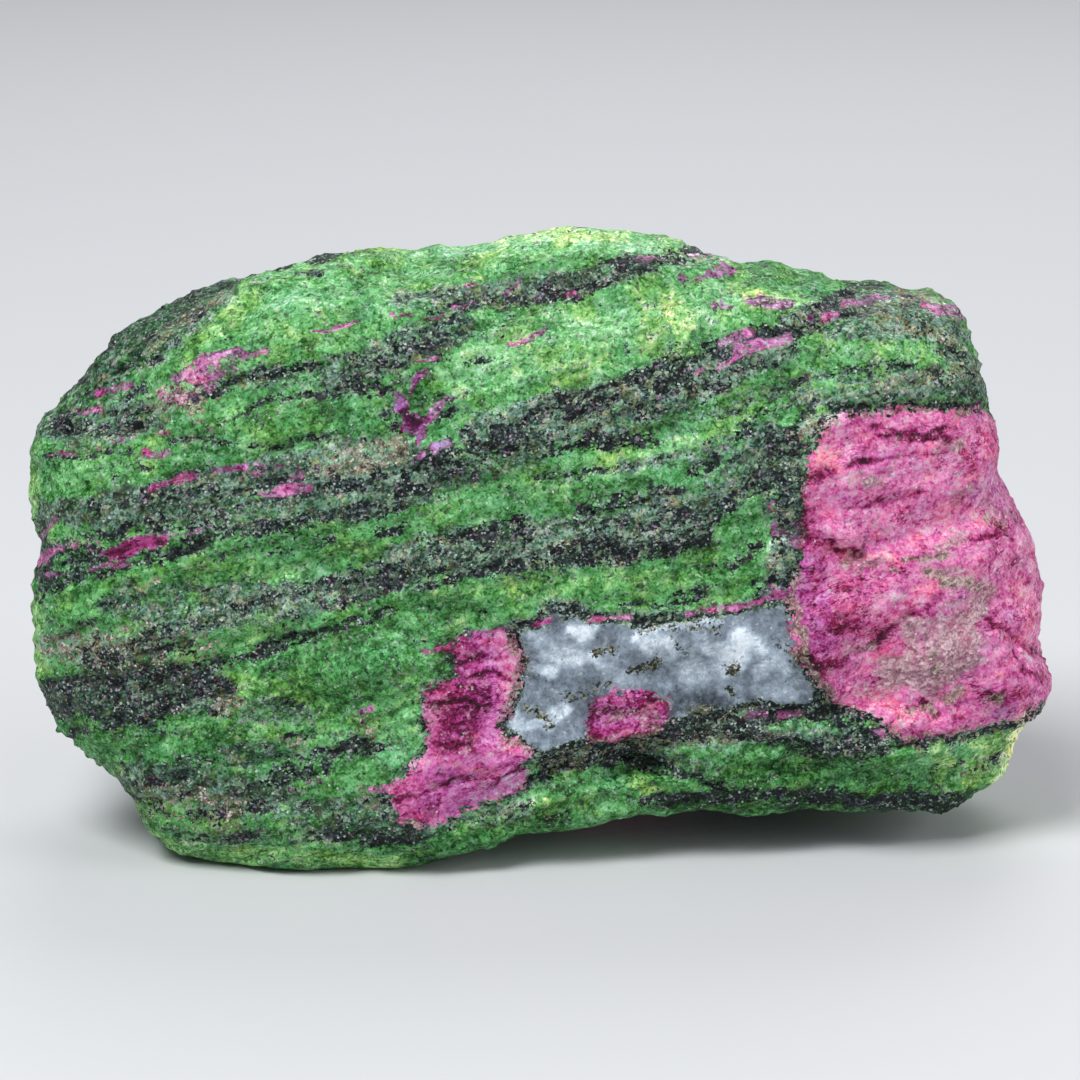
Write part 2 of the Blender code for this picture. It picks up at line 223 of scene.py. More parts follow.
# Black amphibole, and with a minus the green lenses inside its bands
DARK_STROKES = strokes(
    # Upper left corner and edge
    (0.62, (100, 352, 8), (130, 322, 9), (180, 298, 8), (225, 284, 6)),
    (0.70, (390, 392, 7), (388, 420, 7), (405, 440, 5)),
    (0.65, (438, 396, 5), (452, 408, 5), (436, 422, 5)),
    (0.90, (236, 273, 4), (262, 268, 6), (300, 262, 6), (350, 253, 4)),
    (0.60, (140, 350, 7), (165, 330, 9), (200, 314, 7), (214, 306, 5)),
    (0.55, (80, 380, 5), (120, 368, 6), (160, 356, 6)),
    (0.80, (124, 398, 4), (145, 388, 5)),
    (0.80, (295, 279, 4), (322, 275, 4)),
    # Thin bands above the middle left
    (0.88, (195, 402, 5), (222, 388, 7), (250, 378, 7), (285, 368, 6), (330, 360, 6),
     (370, 352, 5)),
    (0.88, (248, 408, 4), (270, 399, 5), (300, 395, 5), (340, 392, 6), (380, 381, 5)),
    (0.80, (213, 420, 4), (232, 418, 5)),
    (0.75, (60, 424, 8), (95, 430, 10), (140, 428, 9)),
    (0.80, (72, 412, 3), (110, 412, 3), (150, 408, 6)),
    (0.85, (45, 455, 3), (90, 456, 3), (130, 452, 3)),
    (0.75, (172, 440, 4), (200, 437, 4)),
    (0.60, (205, 442, 4), (270, 446, 5), (330, 440, 6)),
    (0.70, (136, 470, 3), (150, 466, 4)),
    # Around the ruby lens at the left
    (0.70, (120, 505, 5), (160, 500, 6), (210, 490, 6)),
    (0.90, (38, 524, 7), (47, 560, 13), (45, 592, 11)),
    (0.82, (68, 560, 12), (110, 568, 9), (170, 553, 8), (215, 531, 6)),
    (0.80, (92, 536, 9), (150, 524, 8), (205, 514, 6)),
    (0.92, (98, 537, 4), (130, 532, 5), (165, 529, 5), (205, 524, 5)),
    (0.95, (62, 546, 8), (84, 549, 12), (98, 556, 9)),
    (0.92, (78, 572, 7), (56, 584, 10), (44, 592, 8)),
    (0.90, (96, 577, 3), (122, 571, 5), (150, 562, 6), (185, 548, 7), (210, 540, 5)),
    (0.90, (148, 553, 4), (176, 547, 5)),
    # Middle band
    (0.82, (190, 534, 6), (240, 530, 8), (290, 526, 8), (345, 516, 9), (400, 505, 8)),
    (0.80, (205, 512, 5), (240, 504, 8), (300, 492, 6), (345, 488, 8)),
    (0.92, (235, 492, 4), (260, 484, 6), (290, 480, 6)),
    (0.66, (340, 478, 14), (400, 482, 20), (455, 468, 22)),
    (0.92, (396, 494, 6), (432, 488, 7)),
    (0.74, (440, 455, 14), (500, 438, 27), (550, 420, 31), (600, 415, 32),
     (650, 394, 32), (700, 370, 30), (750, 348, 24), (800, 324, 14), (850, 291, 8)),
    (0.88, (560, 402, 7), (620, 388, 8), (690, 360, 9), (745, 338, 8)),
    (0.88, (470, 448, 5), (530, 432, 6), (590, 436, 6)),
    (0.94, (535, 456, 6), (600, 445, 7), (655, 442, 7)),
    (-0.60, (530, 430, 5), (590, 428, 8), (650, 424, 6)),
    (-0.60, (470, 470, 5), (520, 462, 6), (545, 450, 4)),
    # Upper middle
    (0.85, (398, 297, 4), (425, 295, 5), (452, 291, 4)),
    (0.88, (428, 317, 5), (460, 307, 8), (492, 298, 6)),
    (0.82, (500, 303, 8), (530, 295, 13), (570, 290, 13), (605, 284, 8)),
    (0.72, (345, 380, 10), (385, 358, 20), (430, 335, 20), (468, 324, 10)),
    (0.80, (463, 363, 4), (492, 360, 4)),
    (0.90, (578, 291, 6), (620, 276, 6), (650, 267, 5), (685, 260, 4)),
    (0.90, (598, 263, 5), (640, 258, 6), (690, 251, 6), (722, 252, 4)),
    # Lower band
    (0.68, (345, 604, 7), (400, 577, 15), (450, 556, 23), (500, 547, 27),
     (560, 545, 25), (620, 533, 27), (660, 530, 28), (702, 527, 18)),
    (0.88, (420, 585, 6), (480, 570, 8), (540, 565, 8)),
    (0.98, (548, 556, 9), (620, 554, 10), (672, 548, 9), (705, 540, 6)),
    (0.92, (462, 537, 5), (490, 526, 7), (525, 518, 5)),
    (0.85, (585, 512, 6), (612, 504, 6), (640, 500, 6)),
    (-0.60, (568, 531, 6), (592, 535, 6)),
    (-0.65, (612, 527, 5), (640, 526, 6)),
    (-0.50, (440, 548, 5), (480, 545, 5)),
    (0.84, (128, 650, 5), (160, 630, 10), (200, 625, 10), (240, 614, 8)),
    (0.74, (240, 610, 8), (300, 592, 12), (350, 578, 12), (410, 566, 12)),
    (0.88, (180, 672, 5), (232, 662, 6), (262, 652, 8), (300, 637, 7), (345, 624, 7),
     (395, 612, 5)),
    (0.88, (618, 496, 6), (655, 492, 8), (680, 488, 6)),
    (0.75, (690, 472, 8), (712, 462, 8)),
    (0.80, (690, 540, 9), (720, 514, 9), (752, 486, 7)),
    (0.88, (730, 566, 6), (760, 544, 8)),
    (0.85, (738, 494, 8), (765, 465, 10), (790, 440, 10), (812, 412, 7)),
    (0.80, (728, 441, 5), (752, 430, 6)),
    (0.80, (675, 595, 6), (700, 590, 8)),
    (0.85, (620, 606, 3), (660, 604, 4), (700, 598, 4)),
    (0.84, (268, 556, 4), (302, 547, 6), (330, 538, 4)),
    (0.84, (380, 532, 6), (398, 531, 6)),
    (0.70, (104, 603, 4), (135, 605, 5)),
    (0.80, (78, 622, 5), (100, 620, 5)),
    (0.55, (540, 478, 4), (600, 470, 5), (660, 462, 4)),
    # Right of the middle, over and beside the large ruby
    (0.75, (716, 422, 3), (750, 401, 4), (800, 379, 4), (850, 369, 4), (902, 366, 3)),
    (0.70, (698, 471, 4), (750, 450, 4), (802, 420, 3)),
    (0.55, (700, 445, 3), (745, 424, 4), (800, 398, 3)),
    (0.55, (845, 312, 8), (880, 305, 10), (915, 302, 8)),
    (0.80, (835, 296, 6), (862, 286, 7), (880, 288, 5)),
    (0.75, (795, 326, 6), (822, 308, 7), (850, 296, 6)),
    (0.72, (840, 378, 5), (870, 370, 6), (905, 368, 8), (940, 372, 6)),
    (0.50, (945, 352, 8), (968, 366, 12), (985, 380, 10)),
    (0.35, (900, 325, 8), (960, 330, 8)),
    (0.45, (880, 392, 6), (940, 388, 8), (980, 396, 6)),
    (0.85, (800, 402, 3), (850, 406, 3), (900, 406, 3), (992, 404, 2)),
    (0.88, (756, 490, 10), (778, 466, 14), (796, 444, 12)),
    (0.92, (788, 440, 10), (794, 470, 10), (794, 500, 9), (796, 545, 7)),
    (0.90, (668, 724, 8), (720, 720, 9), (775, 716, 8), (826, 716, 8), (870, 738, 8)),
    (0.75, (740, 700, 4), (775, 704, 5)),
    (0.85, (740, 710, 8), (790, 712, 9), (830, 708, 9), (862, 722, 10), (905, 740, 8)),
    (0.92, (772, 436, 10), (784, 462, 13), (790, 492, 9)),
    (0.85, (760, 588, 8), (790, 582, 9)),
    # In the large ruby
    (0.80, (925, 572, 6), (955, 580, 9), (980, 588, 9)),
    (0.80, (905, 560, 4), (945, 556, 5)),
    (0.80, (930, 655, 6), (942, 678, 7)),
    (0.95, (944, 700, 6), (962, 692, 6)),
    (0.70, (905, 708, 5), (935, 712, 5)),
    (0.70, (985, 520, 5), (1005, 530, 6)),
    (0.75, (985, 702, 5), (1002, 696, 5)),
    (0.65, (862, 565, 4), (900, 572, 5)),
    (0.60, (845, 560, 4), (862, 572, 4)),
    (0.85, (778, 500, 12), (785, 525, 13), (778, 555, 10)),
    (0.85, (757, 586, 9), (778, 584, 14), (795, 575, 9)),
    # Lower left
    (0.88, (88, 662, 6), (125, 656, 8), (170, 650, 8), (195, 644, 5)),
    (0.80, (46, 690, 8), (75, 684, 8), (130, 680, 7)),
    (0.80, (100, 672, 8), (150, 674, 8), (205, 674, 7)),
    (0.50, (55, 700, 22), (120, 690, 30), (180, 690, 26), (215, 690, 12)),
    (0.74, (125, 700, 10), (180, 692, 12), (222, 684, 8)),
    (0.86, (58, 714, 8), (100, 714, 10), (150, 716, 9), (180, 708, 6)),
    (0.96, (70, 733, 5), (110, 728, 6), (165, 722, 5)),
    (0.75, (163, 762, 5), (195, 757, 7), (214, 761, 5)),
    (0.80, (140, 784, 6), (165, 783, 7), (182, 780, 5)),
    (0.80, (138, 800, 6), (155, 806, 8), (166, 815, 5)),
    (0.70, (190, 814, 6), (215, 820, 8)),
    (0.75, (228, 796, 6), (262, 785, 8), (284, 781, 5)),
    (0.75, (243, 816, 6), (264, 808, 8)),
    (0.70, (185, 838, 5), (206, 835, 6)),
    (0.70, (230, 842, 5), (258, 836, 5)),
    (0.90, (268, 778, 6), (310, 758, 10), (350, 748, 10), (388, 744, 7)),
    (0.84, (298, 776, 6), (326, 770, 8)),
    (0.70, (338, 790, 6), (365, 802, 8), (388, 798, 8)),
    (0.75, (296, 802, 4), (322, 811, 6), (346, 815, 7)),
    (0.86, (330, 832, 6), (360, 839, 8), (412, 838, 6)),
    (0.75, (385, 815, 8), (412, 828, 7)),
    (0.70, (282, 702, 4), (302, 704, 4)),
    (0.75, (284, 736, 5), (318, 736, 4)),
    (0.80, (212, 712, 5), (232, 711, 5)),
    # Below the quartz and the large ruby
    (0.90, (522, 788, 5), (560, 765, 10), (600, 759, 9), (650, 752, 9),
     (700, 730, 13), (752, 726, 13)),
    (0.85, (740, 733, 9), (800, 747, 12), (865, 752, 14), (905, 742, 9)),
    # Painted shadow: black along the groove under the ledge, and under the overhanging
    # right end
    (0.80, (600, 757, 4), (660, 765, 7), (722, 786, 6)),
    (0.90, (640, 803, 6), (720, 799, 9), (800, 799, 11), (900, 802, 11),
     (985, 800, 9)),
    (0.45, (935, 772, 7), (970, 766, 8), (995, 762, 5)),
    (0.55, (410, 842, 5), (480, 822, 6), (540, 800, 5)),
)

# Grey, speckled rock, where green and black grains are mixed
MIXED_STROKES = strokes(
    # Left
    (0.75, (50, 425, 18), (110, 425, 24), (150, 415, 20)),
    (0.74, (60, 395, 16), (120, 362, 24), (180, 322, 22), (232, 288, 12)),
    (0.95, (45, 512, 10), (110, 512, 20), (190, 500, 22), (250, 478, 16),
     (290, 462, 12)),
    (0.70, (130, 496, 10), (210, 480, 10), (260, 465, 12)),
    (0.90, (290, 478, 18), (340, 466, 28), (400, 462, 26), (440, 470, 18)),
    (0.80, (205, 520, 14), (280, 512, 16), (350, 505, 18), (420, 490, 14)),
    (0.55, (230, 375, 10), (300, 380, 12), (370, 370, 12)),
    (0.75, (330, 375, 12), (400, 350, 22), (460, 325, 16)),
    (0.60, (130, 590, 12), (200, 598, 12), (260, 590, 10)),
    (0.75, (110, 605, 10), (180, 625, 14), (260, 608, 16), (340, 590, 18),
     (420, 575, 18)),
    (0.80, (52, 648, 12), (100, 650, 16), (150, 650, 12)),
    (0.95, (48, 700, 14), (110, 690, 28), (180, 690, 26), (225, 690, 12)),
    (0.85, (130, 775, 12), (180, 785, 22), (240, 800, 24), (290, 800, 14)),
    (0.60, (215, 710, 10), (270, 712, 14), (310, 715, 10)),
    (0.60, (240, 755, 12), (300, 750, 12)),
    (0.70, (300, 815, 14), (380, 815, 20), (420, 835, 10)),
    (0.50, (180, 835, 10), (250, 838, 10), (340, 835, 10)),
    # Middle
    (0.60, (430, 478, 12), (480, 470, 12), (540, 455, 12)),
    (0.90, (480, 432, 20), (600, 412, 28), (700, 380, 26), (780, 345, 16)),
    (0.60, (620, 465, 8), (700, 455, 10), (760, 435, 10)),
    (0.80, (640, 505, 12), (700, 500, 20), (740, 480, 20), (770, 440, 18)),
    (0.90, (400, 560, 18), (480, 548, 24), (600, 540, 26), (700, 525, 18)),
    (0.60, (700, 420, 8), (760, 395, 10), (820, 375, 8)),
    # Top
    (0.80, (400, 300, 10), (480, 295, 14), (560, 285, 18), (620, 275, 12)),
    (0.55, (620, 262, 8), (700, 258, 8), (740, 258, 5)),
    # Right
    (0.85, (790, 325, 10), (840, 305, 16), (900, 305, 20), (950, 320, 18)),
    (0.85, (830, 330, 8), (900, 328, 10), (960, 335, 12)),
    (0.85, (800, 400, 8), (860, 388, 14), (930, 385, 16), (985, 385, 14)),
    (0.70, (950, 350, 10), (975, 365, 12)),
    (0.85, (770, 505, 12), (785, 540, 14), (775, 575, 12)),
    (0.95, (800, 436, 8), (815, 424, 9), (838, 418, 7)),
    (0.90, (785, 440, 12), (792, 480, 10), (794, 540, 8)),
    # Below the quartz and the large ruby
    (0.80, (560, 765, 10), (640, 745, 10), (760, 735, 12), (880, 745, 12)),
    (0.50, (640, 760, 10), (720, 770, 10)),
    (0.60, (470, 825, 8), (520, 810, 8)),
)

# Yellow-green zoisite, coral places in ruby, and a painted lime glow of light along
# lit edges
LIME_STROKES = strokes(
    (0.42, (207, 335, 10), (230, 312, 14), (255, 293, 12)),
    # Coral places in the rubies
    (0.90, (806, 475, 8), (820, 462, 10), (832, 452, 8)),
    (0.90, (828, 544, 4), (846, 553, 5), (856, 556, 4)),
    (0.80, (862, 558, 5), (890, 557, 5)),
    (0.60, (984, 432, 8), (988, 456, 8)),
    (0.60, (880, 625, 6), (908, 604, 5)),
    (0.55, (855, 690, 8), (885, 705, 9), (915, 715, 7)),
    (0.50, (840, 612, 7), (860, 604, 7)),
    (0.50, (500, 660, 7), (510, 700, 8)),
    # In the rock
    (0.75, (348, 256, 8), (375, 250, 9), (402, 252, 8)),
    # Painted light: a lime glow along the left edge, the lower left rim and the right
    # toe
    (0.75, (30, 462, 7), (32, 485, 8), (34, 508, 7)),
    (0.70, (33, 600, 7), (36, 640, 9), (42, 672, 8)),
    (0.68, (126, 800, 7), (140, 830, 9), (162, 846, 9), (220, 855, 8), (300, 858, 8),
     (400, 864, 7)),
    (0.85, (972, 738, 10), (1000, 742, 14), (1002, 772, 12)),
    (0.55, (228, 692, 14), (285, 706, 18), (330, 716, 14)),
    (0.40, (250, 730, 12), (300, 745, 10)),
    (0.22, (1012, 560, 14), (1028, 600, 14), (1034, 640, 8)),
    (0.80, (300, 842, 7), (335, 838, 7)),
    (0.60, (220, 685, 9), (270, 685, 9)),
    (0.90, (230, 695, 5), (240, 695, 5)),
    (0.60, (325, 553, 8), (366, 548, 8)),
    (0.95, (371, 585, 6), (381, 585, 6)),
    (0.85, (668, 293, 10), (680, 318, 15), (684, 342, 10)),
    (0.55, (575, 350, 5), (585, 370, 5)),
    (0.55, (748, 292, 8), (802, 300, 9)),
    (0.85, (840, 385, 5), (860, 384, 4)),
    (0.85, (899, 410, 4), (911, 410, 4)),
    (0.90, (934, 742, 7), (946, 764, 11), (938, 782, 7)),
    # Painted light on the right toe's edge
    (0.95, (1024, 716, 10), (1018, 752, 14), (1004, 786, 11)),
    (0.60, (965, 782, 7), (1000, 780, 8)),
    (0.50, (470, 826, 8), (520, 812, 11), (580, 800, 9)),
    (0.90, (634, 786, 8), (652, 789, 7)),
    (0.60, (165, 810, 7), (177, 812, 7)),
    (0.60, (495, 238, 7), (560, 232, 7), (625, 237, 7)),
    (0.45, (470, 262, 9), (545, 258, 9)),
    (0.45, (430, 590, 9), (540, 588, 10), (660, 578, 9)),
    (0.50, (560, 380, 12), (600, 350, 14)),
    (0.40, (600, 462, 9), (700, 440, 10)),
    (0.40, (240, 575, 10), (300, 570, 10)),
    (0.70, (545, 603, 4), (580, 604, 4)),
    (0.60, (395, 706, 4), (405, 698, 4)),
)

# Frosted or whitish places
PALE_STROKES = strokes(
    # On the small ruby streaks and beside them
    (0.90, (397, 395, 6), (398, 403, 6)),
    (0.50, (434, 410, 5), (442, 404, 4)),
    (0.45, (420, 427, 5), (424, 425, 5)),
    (0.42, (435, 447, 8), (448, 443, 6)),
    (0.70, (743, 298, 8), (768, 300, 9), (792, 303, 9)),
    (0.50, (764, 342, 5), (786, 336, 5)),
    (0.35, (925, 305, 8), (960, 313, 8)),
    (0.45, (176, 381, 8), (205, 366, 10), (228, 352, 7)),
    # On the rock
    (0.30, (275, 300, 8), (295, 298, 9), (315, 292, 8)),
    (0.45, (245, 287, 4), (300, 271, 4), (350, 264, 4)),
    (0.40, (500, 240, 7), (560, 236, 7), (620, 240, 7)),
    (0.40, (672, 300, 8), (682, 330, 10)),
    (0.35, (398, 640, 8), (415, 700, 9), (412, 735, 12), (395, 760, 8)),
    (0.35, (640, 745, 8), (700, 752, 8), (760, 742, 8)),
    (0.55, (500, 812, 6), (520, 806, 8), (545, 796, 5)),
    # Painted light on the right toe's face
    (0.75, (1022, 724, 8), (1016, 752, 10), (1000, 780, 10)),
    (0.45, (770, 540, 7), (785, 555, 10)),
    (0.70, (774, 508, 6), (790, 512, 5)),
    (1.00, (802, 434, 7), (818, 423, 9), (840, 418, 7)),
    (0.30, (640, 455, 8), (700, 440, 8)),
    # On the large ruby
    (0.34, (880, 470, 14), (930, 468, 18), (970, 476, 12)),
    (0.40, (870, 520, 12), (940, 528, 16), (1000, 512, 10)),
    (0.45, (812, 610, 8), (830, 590, 8)),
    (0.40, (845, 600, 10), (880, 612, 12), (930, 590, 8)),
    (0.35, (985, 640, 12), (990, 680, 10)),
    (0.40, (840, 480, 8), (850, 500, 10)),
    (0.35, (820, 650, 8), (850, 640, 8)),
    # On the lower ruby
    (0.10, (452, 765, 12), (480, 770, 14), (500, 760, 9)),
    (0.55, (476, 800, 4), (500, 790, 5), (528, 776, 4)),
    (0.30, (490, 685, 8), (505, 690, 8)),
    # On the quartz
    (0.85, (568, 628, 6), (582, 634, 9), (592, 630, 6)),
    (0.45, (535, 640, 9), (565, 655, 13), (592, 655, 7)),
    (0.50, (540, 668, 5), (552, 672, 7)),
    (0.75, (735, 634, 7), (748, 636, 9), (762, 648, 6)),
    (0.60, (708, 645, 7), (735, 650, 14), (742, 664, 9)),
    (0.40, (690, 672, 14), (715, 668, 14)),
    (0.50, (760, 672, 7), (772, 662, 9), (785, 672, 6)),
    (0.35, (760, 690, 10), (790, 690, 12)),
    (0.60, (640, 640, 8), (668, 650, 10)),
    (0.35, (606, 668, 9), (622, 676, 9)),
    (0.60, (515, 712, 5), (522, 730, 6), (545, 722, 8), (565, 708, 6)),
    (0.60, (640, 634, 4), (660, 628, 5), (700, 626, 5), (718, 622, 4)),
    (0.60, (738, 700, 4), (745, 706, 4)),
)

# Brown, beige and olive grains
TAN_STROKES = strokes(
    (0.40, (60, 648, 20), (130, 650, 24), (200, 648, 20)),
    (0.45, (320, 470, 12), (365, 458, 18), (400, 450, 12)),
    (0.40, (150, 350, 6), (180, 326, 6), (222, 297, 5)),
    (0.35, (160, 400, 14), (210, 390, 14)),
    (0.60, (215, 707, 7), (240, 702, 8)),
    (0.40, (280, 740, 6), (312, 738, 6)),
    (0.35, (150, 800, 20), (240, 815, 20)),
    (0.50, (900, 298, 8), (950, 294, 8)),
    (0.40, (870, 312, 8), (950, 340, 8)),
    (0.35, (880, 385, 8), (985, 372, 10)),
    (0.45, (540, 768, 8), (600, 757, 8), (700, 741, 7), (780, 735, 8)),
    (0.40, (690, 712, 8), (760, 715, 8)),
    (0.55, (915, 748, 5), (922, 752, 5)),
    (0.35, (965, 775, 8), (990, 762, 6)),
    (0.45, (360, 790, 8), (372, 800, 10)),
    (0.45, (365, 715, 6), (370, 735, 8)),
    (0.45, (770, 560, 8), (782, 595, 8)),
    (0.60, (802, 436, 6), (835, 420, 7)),
    (0.60, (165, 392, 8), (195, 400, 12), (195, 415, 8)),
    (0.45, (640, 632, 5), (720, 626, 5)),
    (0.80, (373, 443, 3), (378, 443, 3)),
    (0.80, (143, 588, 3), (160, 577, 3)),
    # On the large ruby
    (0.85, (905, 622, 10), (930, 640, 24), (960, 625, 22), (978, 606, 10)),
    (0.85, (890, 670, 16), (930, 670, 24), (965, 655, 18)),
    (0.70, (930, 690, 14), (975, 640, 12)),
    (0.70, (945, 575, 12), (985, 590, 12)),
    (0.60, (846, 650, 7), (870, 645, 8)),
    (0.55, (860, 690, 10), (885, 690, 9)),
    (0.70, (862, 478, 6), (880, 484, 5)),
    (0.60, (935, 448, 5), (962, 444, 6)),
    (0.60, (955, 500, 7), (970, 488, 6)),
    (0.50, (1000, 515, 6), (1015, 520, 6)),
    (0.50, (845, 562, 6), (880, 560, 5)),
    (0.40, (930, 560, 10), (960, 540, 10)),
    (0.36, (600, 712, 10), (652, 718, 10)),
    # In the quartz
    (0.56, (594, 650, 5), (618, 652, 5)),
    (0.64, (630, 668, 4), (652, 666, 7), (660, 660, 4)),
    (0.40, (590, 688, 5), (612, 684, 5)),
    (0.74, (728, 668, 4), (738, 670, 5)),
    (0.60, (730, 686, 3), (734, 692, 3)),
    (0.56, (530, 708, 6), (548, 722, 7)),
    (0.40, (560, 700, 5), (584, 694, 4)),
    (0.34, (672, 640, 4), (690, 652, 5)),
    (0.40, (775, 640, 3), (788, 652, 4), (795, 668, 3)),
    (0.40, (525, 655, 4), (535, 672, 4)),
)

# Small ruby streaks in the green and black rock
FLECK_STROKES = strokes(
    (0.98, (100, 556, 4), (125, 550, 10), (150, 543, 8), (165, 538, 4)),
    (0.70, (165, 538, 4), (200, 530, 3)),
    (0.75, (92, 568, 3), (130, 564, 4)),
    (0.85, (262, 494, 4), (288, 492, 8), (312, 484, 4)),
    (0.85, (150, 487, 3), (175, 481, 5), (198, 476, 4)),
    (0.75, (215, 472, 3), (245, 464, 4)),
    (0.65, (58, 451, 4), (100, 450, 4)),
    (0.70, (108, 442, 3), (132, 439, 3)),
    (0.75, (143, 454, 4), (168, 450, 4)),
    (0.60, (154, 433, 3), (173, 431, 3)),
    (0.60, (205, 429, 3), (216, 427, 3)),
    (0.70, (93, 392, 4), (130, 386, 5)),
    (0.70, (74, 410, 4), (102, 409, 4)),
    (0.85, (173, 378, 5), (200, 366, 8), (230, 350, 4)),
    (0.52, (165, 400, 10), (195, 388, 16), (228, 362, 12), (240, 348, 6)),
    (0.40, (60, 540, 10), (90, 545, 12)),
    (0.42, (250, 470, 10), (280, 466, 12), (300, 470, 8)),
    (0.70, (205, 382, 5), (220, 376, 5)),
    (0.75, (242, 356, 4), (266, 350, 4)),
    (0.88, (313, 334, 3), (335, 329, 4), (359, 321, 3)),
    (0.85, (503, 344, 3), (525, 339, 5), (547, 330, 3)),
    (0.60, (430, 318, 3), (480, 300, 3)),
    (0.55, (390, 318, 3), (412, 316, 3)),
    (0.60, (465, 287, 3), (478, 284, 3)),
    (0.70, (504, 293, 3), (520, 280, 3)),
    (0.60, (570, 294, 4), (581, 293, 4)),
    (0.70, (638, 258, 4), (671, 256, 4)),
    (0.65, (688, 257, 3), (711, 254, 3)),
    (0.72, (683, 277, 6), (702, 276, 4)),
    (0.85, (706, 274, 4), (719, 272, 7), (731, 270, 6)),
    (0.70, (716, 305, 4), (731, 305, 4)),
    (0.70, (746, 299, 6), (766, 302, 7), (789, 304, 6)),
    (0.80, (723, 343, 6), (737, 338, 8), (750, 332, 5)),
    (0.88, (741, 352, 7), (765, 344, 8), (789, 336, 6)),
    (0.70, (698, 370, 4), (736, 360, 4)),
    (0.66, (814, 319, 6), (832, 311, 6)),
    (0.70, (843, 303, 5), (865, 299, 6), (886, 301, 5)),
    (0.74, (924, 305, 5), (943, 310, 7), (960, 313, 6)),
    (0.85, (416, 362, 3), (433, 358, 3)),
    (0.80, (416, 377, 3), (424, 373, 5)),
    (0.66, (415, 379, 3), (411, 392, 3)),
    (0.90, (398, 397, 8), (400, 410, 8)),
    (0.90, (401, 414, 5), (413, 421, 6), (426, 418, 5)),
    (0.80, (428, 416, 4), (436, 409, 6), (443, 403, 4)),
    (0.88, (409, 427, 8), (420, 429, 9), (417, 446, 3)),
    (0.90, (434, 447, 7), (448, 443, 5)),
    (0.60, (417, 458, 4), (422, 455, 4)),
    (0.55, (388, 372, 4), (398, 371, 4)),
    (0.85, (40, 536, 4), (56, 520, 4)),
    (0.90, (33, 562, 5), (46, 556, 8), (58, 550, 4)),
    (0.70, (50, 575, 4), (60, 573, 4)),
    (0.75, (362, 709, 5), (376, 707, 5)),
    (0.60, (309, 783, 4), (321, 782, 4)),
    (0.95, (533, 626, 4), (551, 620, 4)),
    (0.90, (588, 622, 3), (632, 619, 4)),
    (0.92, (688, 613, 5), (725, 607, 5), (760, 600, 4), (792, 590, 4)),
    (0.70, (768, 500, 4), (775, 530, 5), (795, 545, 5)),
    (0.80, (795, 520, 5), (800, 545, 5)),
    (0.60, (765, 585, 5), (790, 595, 4)),
    (0.80, (425, 650, 4), (452, 648, 5)),
    (0.75, (450, 640, 4), (480, 632, 5), (505, 630, 3)),
    (0.70, (372, 790, 5), (398, 785, 6)),
    (0.70, (745, 716, 5), (762, 715, 5)),
    (0.75, (782, 714, 4), (800, 716, 5)),
    (0.60, (880, 735, 5), (890, 740, 4)),
    (0.80, (920, 737, 5), (948, 734, 4)),
    (0.80, (612, 690, 5), (632, 682, 6)),
)

# Where ruby is lilac rather than magenta, and quartz mauve
LILAC_STROKES = strokes(
    (0.90, (262, 478, 4), (275, 470, 7), (286, 463, 4)),
    (0.90, (195, 476, 4), (200, 474, 4)),
    (0.60, (215, 470, 5), (245, 463, 5)),
    (0.80, (549, 259, 4), (573, 258, 4)),
    (0.90, (630, 297, 4), (656, 296, 5)),
    (0.60, (678, 274, 5), (731, 270, 6)),
    (0.60, (725, 306, 5), (791, 300, 5)),
    (0.20, (738, 350, 6), (792, 334, 6)),
    (0.80, (418, 456, 4), (424, 455, 4)),
    (0.70, (430, 443, 6), (450, 443, 6)),
    (0.90, (422, 374, 9), (400, 402, 15), (416, 430, 15)),
    (0.45, (434, 447, 10), (450, 443, 9)),
    (0.60, (426, 416, 8), (443, 404, 8)),
    (0.60, (770, 500, 5), (780, 545, 6)),
    (0.80, (398, 685, 5), (412, 678, 5)),
    (0.80, (480, 645, 22), (480, 700, 30), (470, 740, 24), (440, 795, 30),
     (510, 770, 18)),
    (0.90, (595, 718, 14), (660, 718, 14)),
    (0.90, (808, 560, 12), (812, 600, 16), (822, 640, 16)),
    (0.20, (990, 475, 10), (1000, 510, 8)),
    (0.50, (1005, 690, 10), (1010, 712, 8)),
    (0.50, (600, 700, 8), (660, 705, 10)),
)
